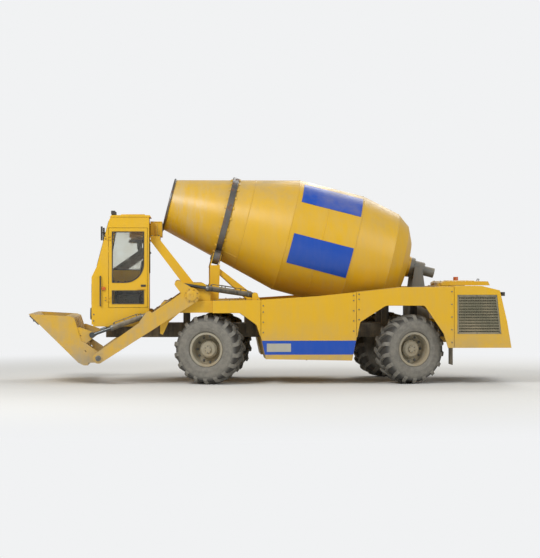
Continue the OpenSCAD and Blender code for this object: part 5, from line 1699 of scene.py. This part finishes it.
    def cushion(self, name: str, low: Vector, high: Vector, crown: Vector,
                lean_deg: float = 0.0) -> bpy.types.Object:
        """Builds one crowned cushion whose sides pull in between its corners.

        Args:
            name: Name of the piece.
            low: Lowest corner of the cushion.
            high: Highest corner.
            crown: Vector along which its face swells.
            lean_deg: Angle by which it leans backwards about its lower rear edge.

        Returns:
            The cushion.
        """
        piece = Piece(name)
        verts = bmesh.ops.create_cube(piece.mesh, size=1.0)["verts"]
        edges = list({e for v in verts for e in v.link_edges})
        bmesh.ops.subdivide_edges(piece.mesh, edges=edges, cuts=7, use_grid_fill=True)
        size, middle = high - low, (low + high) / 2
        direction = crown.normalized()
        for v in piece.mesh.verts:
            flat = v.co - direction * v.co.dot(direction)
            spread = [abs(c) * 2 for c, d in zip(flat, direction) if abs(d) < 0.5]
            dome = (1 - spread[0] ** 4) * (1 - spread[1] ** 4)
            face = v.co.dot(direction)
            v.co = Vector([c * s for c, s in zip(v.co, size)])
            if face > 0.2:
                v.co += crown * dome
            pull = 1.0 - 0.035 * (1 - min(spread) ** 2) * (max(spread) > 0.98)
            v.co = v.co.lerp(direction * v.co.dot(direction), 1.0 - pull)
        sharp = [e for e in piece.mesh.edges if e.calc_face_angle(0.0) > math.radians(50)]
        bmesh.ops.bevel(piece.mesh, geom=sharp, offset=0.018, segments=3, profile=0.5, affect="EDGES",
                        material=-1)
        bmesh.ops.smooth_vert(piece.mesh, verts=piece.mesh.verts, factor=0.5, use_axis_x=True,
                              use_axis_y=True, use_axis_z=True)
        lean = (Matrix.Translation(low) @ Matrix.Rotation(math.radians(-lean_deg), 4, "Y")
                @ Matrix.Translation(-low) @ Matrix.Translation(middle))
        bmesh.ops.transform(piece.mesh, matrix=lean, verts=piece.mesh.verts)
        return piece.done(VINYL, smooth_deg=80)

    def seat(self) -> None:
        """Builds the seat: pedestal, cushion and backrest, in place of its plain solid."""
        y0, y1 = self.seat_y
        x = self.seat_x
        stand = Piece("seat_pedestal")
        for ahead, behind, inset, low, high, round_mm in (
                (0.17, 0.17, 0.02, 0.0, 0.05, 6.0), (0.13, 0.13, 0.07, 0.045, 0.29, 20.0),
                (0.22, 0.20, 0.01, 0.285, 0.325, 8.0)):
            stand.block(self.at(x - behind, y0 + inset, self.floor + low),
                        self.at(x + ahead, y1 - inset, self.floor + high), round_mm)
        stand.done(PLASTIC)
        base = self.cushion("seat_cushion", self.at(x - 0.205, y0 - 0.005, self.floor + 0.325),
                            self.at(x + 0.235, y1 + 0.005, self.floor + 0.415), Vector((0, 0, 0.022)))
        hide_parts("seat")
        back = self.cushion("seat_back", self.at(x - 0.225, y0 + 0.01, self.floor + 0.40),
                            self.at(x - 0.135, y1 - 0.01, self.floor + 0.975), Vector((0.020, 0, 0)),
                            lean_deg=2.0)

    def build(self) -> None:
        """Builds all that the cab gets."""
        self.windows()
        self.wiper()
        self.fittings()
        self.dashboard()
        self.seat()


# Lamps


@dataclass
class Lamps(OnChassis):
    """Lenses, guards and bezels of the work lamps, head lamps, tail lamps and mirrors."""

    work_x: float = 1.590
    work_y: tuple = (0.110, 0.330, 0.640, 0.860)
    roof: float = 2.678
    rear_x: float = -1.545
    rear_y: float = 1.080
    rear_z: float = 1.390
    tail: tuple = ((-1.690, 0.571), (-1.621, 0.984))
    tail_lamp_z: tuple[float, float] = (0.640, 0.730)
    head_y: tuple = (0.150, 0.820)
    cab_front: float = 1.955

    def work_lamps(self) -> None:
        """Adds the lenses and wire guards of the work lamps on the cab's roof and at the rear."""
        lens, guard = Piece("work_lamp_lenses"), Piece("work_lamp_guards")
        lamps = [Matrix.Translation(self.at(self.work_x, y, self.roof)) for y in self.work_y]
        lamps += [axis_place((self.rear_axle + self.rear_x, y, self.rear_z), (0, 0, 1), (-1, 0, 0))
                  for y in (self.rear_y, -self.rear_y)]
        for place in lamps:
            lens.block((0.042, -0.047, 0.008), (0.051, 0.047, 0.054), 3.0, place)
            for y in (-0.025, 0.0, 0.025):
                run = ((0.045, y, 0.003), (0.058, y, 0.003), (0.058, y, 0.059), (0.045, y, 0.059))
                guard.tube([place @ Vector(p) for p in run], 0.0022, 6, 0.006)
        lens.done(LENS_CLEAR)
        guard.done(CHASSIS_BLACK)

    def head_lamps(self) -> None:
        """Adds the bezels of the head lamps."""
        bezel = Piece("head_lamp_bezels")
        for y in self.head_y:
            base = axis_place(self.at(self.cab_front, y, 1.110), (1, 0, 0))
            bezel.lathe([(0.086, -0.001), (0.094, -0.001), (0.094, 0.018), (0.088, 0.024), (0.079, 0.024),
                         (0.0772, 0.0225), (0.086, 0.0)], base, segments=48)
        bezel.done(PLASTIC)

    def tail_lamps(self) -> None:
        """Adds the bezels and coloured lenses of the tail lamps on the leaning tail."""
        foot, head = (Vector((self.rear_axle + x, 0, z)) for x, z in self.tail)
        slope = (foot - head).normalized()
        out = Vector((slope.z, 0, -slope.x))
        low, high = (foot.lerp(head, (z - foot.z) / (head.z - foot.z)) + out * 0.0122
                     for z in self.tail_lamp_z)
        red, amber, bezel = Piece("tail_lamp_red"), Piece("tail_lamp_amber"), Piece("tail_lamp_bezels")
        for s in (-1, 1):
            bars = [(bezel, y - 0.004, y + 0.004, 0.0, 0.010, 1.0) for y in (0.724, 0.933, 1.056)]
            for piece, y0, y1, inset, depth, round_mm in ((red, 0.728, 0.930, 0.008, 0.008, 3.0),
                                                          (amber, 0.936, 1.052, 0.008, 0.008, 3.0), *bars):
                piece.plate([(low.x, s * y0, low.z + inset), (low.x, s * y1, low.z + inset),
                             (high.x, s * y1, high.z - inset), (high.x, s * y0, high.z - inset)],
                            out * depth, round_mm)
        red.done(LENS_RED)
        amber.done(LENS_AMBER)
        bezel.done(PLASTIC)

    def mirrors(self) -> None:
        """Adds the mirror glasses, which face backwards."""
        piece = Piece("mirror_glasses")
        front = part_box("mirrors")[1].x
        for y in (0.060, 0.910):
            piece.block((front - 0.0282, y - 0.047, 2.280), (front - 0.0255, y + 0.047, 2.480), 1.0)
        piece.done(MIRROR_GLASS)

    def build(self) -> None:
        """Builds all that the lamps and mirrors get."""
        self.work_lamps()
        self.head_lamps()
        self.tail_lamps()
        self.mirrors()


# Finishes of the solids that stay


SOLIDS: dict[Finish, str] = {
    YELLOW: "front_fenders side_tanks rear_fenders engine_cover engine_hood loader_brackets drum_stand "
            "hopper_portal right_platform cab_shell cab_door",
    ARM_YELLOW: "loader_arms bucket",
    DRUM_YELLOW: "drum_shell",
    PANEL_BLUE: "drum_panels",
    CHASSIS_BLACK: "chassis_frame lift_barrels tilt_barrels",
    MACHINE_GREY: "engine_block drum_gearbox",
    MESH_GREY: "engine_grilles",
    RIM_PAINT: "wheel_fl wheel_fr wheel_rl wheel_rr",
    CAST_IRON: "front_axle rear_axle knuckle_fl knuckle_fr knuckle_rl knuckle_rr",
    WORN_STEEL: "drum_ring roller_left roller_right front_track_rod rear_track_rod",
    CHUTE_STEEL: "chute_ring chute_trough",
    ROD_CHROME: "lift_rods tilt_rods",
    GLASS: "cab_glass door_glass",
    PLASTIC: "steering_console work_lamps mirrors",
    FLAP_RUBBER: "mud_flaps",
    LENS_CLEAR: "road_lamps",
    LENS_AMBER: "beacon",
}


def dress_solids() -> None:
    """Gives every solid that stays its finish."""
    for finish, names in SOLIDS.items():
        for name in names.split():
            materials = frame["nodes"][name].data.materials
            materials.clear()
            materials.append(finish.material())
            LOG.info("%s: %s", name, finish.name)


# Studio


@dataclass
class Studio(OnChassis):
    """Pale floor, soft lamps and the camera at the photograph's viewpoint, with a longer lens."""

    filled: float = 0.90
    camera_ahead: float = 0.595
    camera_out: float = 29.5
    camera_height: float = 1.75
    sensor_mm: float = 36.0
    floor_colour: str = "#dddcd8"
    backdrop: str = "#f1f2f3"
    sky_strength: float = 0.55
    lit_radius: float = 5.0
    faded_radius: float = 11.0

    def camera(self) -> None:
        """Places the camera where the photographer stood, aims it at the machine and lets the machine fill
        the picture's width."""
        (x0, y0, z0), (x1, y1, z1) = CAD_BOX
        corners = [Vector((x, y, z)) for x in (x0, x1) for y in (y0, y1) for z in (z0, z1)]
        place = self.at(self.camera_ahead, self.camera_out, self.camera_height)
        aim = sum(corners, Vector()) / len(corners) - place
        for _ in range(4):
            turn = aim.to_track_quat("-Z", "Y").to_matrix()
            seen = [turn.inverted() @ (corner - place) for corner in corners]
            across = [-p.x / p.z for p in seen]
            upward = [-p.y / p.z for p in seen]
            aim = turn @ Vector(((min(across) + max(across)) / 2, (min(upward) + max(upward)) / 2, -1.0))
        data = bpy.data.cameras.new("viewpoint")
        data.sensor_width = self.sensor_mm
        data.sensor_fit = "HORIZONTAL"
        data.lens = self.sensor_mm * self.filled / (max(across) - min(across))
        data.clip_end = 200.0
        camera = bpy.data.objects.new("viewpoint", data)
        camera.matrix_world = Matrix.Translation(place) @ aim.to_track_quat("-Z", "Y").to_matrix().to_4x4()
        bpy.context.scene.collection.objects.link(camera)
        bpy.context.scene.camera = camera

    def seen_straight(self, tree: Tree) -> Node:
        """Returns a node that gives 1 where a surface is seen directly or through a pane."""
        paths = add_node(tree, "LightPath").outputs
        return add_node(tree, "Math", {0: paths["Is Camera Ray"], 1: paths["Is Transmission Ray"]},
                        operation="MAXIMUM")

    def floor(self) -> None:
        """Adds the pale floor, which runs out into the backdrop's colour away from the machine."""
        mesh = bmesh.new()
        bmesh.ops.create_grid(mesh, x_segments=1, y_segments=1, size=90.0)
        data = bpy.data.meshes.new("studio_floor")
        mesh.to_mesh(data)
        mesh.free()
        floor = bpy.data.objects.new("studio_floor", data)
        bpy.context.scene.collection.objects.link(floor)
        material = bpy.data.materials.new("pale_studio_floor")
        material.use_nodes = True
        tree = material.node_tree
        tree.nodes.clear()
        matt = add_node(tree, "BsdfDiffuse", {"Color": linear(self.floor_colour)})
        place = add_node(tree, "TexCoord").outputs["Object"]
        away = add_node(tree, "VectorMath", {0: place}, operation="LENGTH").outputs["Value"]
        fade = add_node(tree, "MapRange", {"Value": away, "From Min": self.lit_radius,
                                           "From Max": self.faded_radius}, interpolation_type="SMOOTHSTEP")
        share = add_node(tree, "Math", {0: fade, 1: self.seen_straight(tree)}, operation="MULTIPLY")
        even = add_node(tree, "Emission", {"Color": linear(self.backdrop), "Strength": 1.0})
        mixed = add_node(tree, "MixShader", {0: share, 1: matt, 2: even})
        add_node(tree, "OutputMaterial", {"Surface": mixed})
        data.materials.append(material)

    def sky(self) -> None:
        """Lights the scene evenly from a pale surround."""
        world = bpy.data.worlds.new("pale_surround")
        bpy.context.scene.world = world
        world.use_nodes = True
        tree = world.node_tree
        tree.nodes.clear()
        strength = add_node(tree, "MapRange", {"Value": self.seen_straight(tree),
                                               "To Min": self.sky_strength, "To Max": 1.0})
        back = add_node(tree, "Background", {"Color": linear(self.backdrop), "Strength": strength})
        add_node(tree, "OutputWorld", {"Surface": back})

    def lamp(self, name: str, place: Point, watts: float, size: float) -> None:
        """Adds one soft lamp that looks at the machine.

        Args:
            name: Name of the lamp.
            place: Where it hangs.
            watts: Its power.
            size: Side of its square face.
        """
        data = bpy.data.lights.new(name, "AREA")
        data.energy = watts
        data.size = size
        lamp = bpy.data.objects.new(name, data)
        spot = Vector(place)
        lamp.matrix_world = (Matrix.Translation(spot)
                             @ (Vector((0, 0, 1.2)) - spot).to_track_quat("-Z", "Y").to_matrix().to_4x4())
        bpy.context.scene.collection.objects.link(lamp)

    def build(self) -> None:
        """Builds the floor, the lamps and the camera."""
        scene = bpy.context.scene
        scene.view_settings.view_transform = "Standard"
        self.camera()
        self.floor()
        self.sky()
        self.lamp("key", (7.0, 9.0, 10.0), 1050.0, 5.0)
        self.lamp("fill", (-9.0, 8.0, 6.0), 350.0, 7.0)
        self.lamp("rim", (-4.0, -9.0, 9.0), 600.0, 6.0)


def main() -> None:
    """Builds the studio and every sub-assembly's pieces, in order."""
    logging.basicConfig(level=logging.INFO, format="%(name)s: %(message)s")
    for part in (Studio(), Wheels(), Drum(), Body(), Loader(), Hopper(), Cab(), Lamps()):
        part.build()
    dress_solids()


if __name__ == "__main__":
    main()
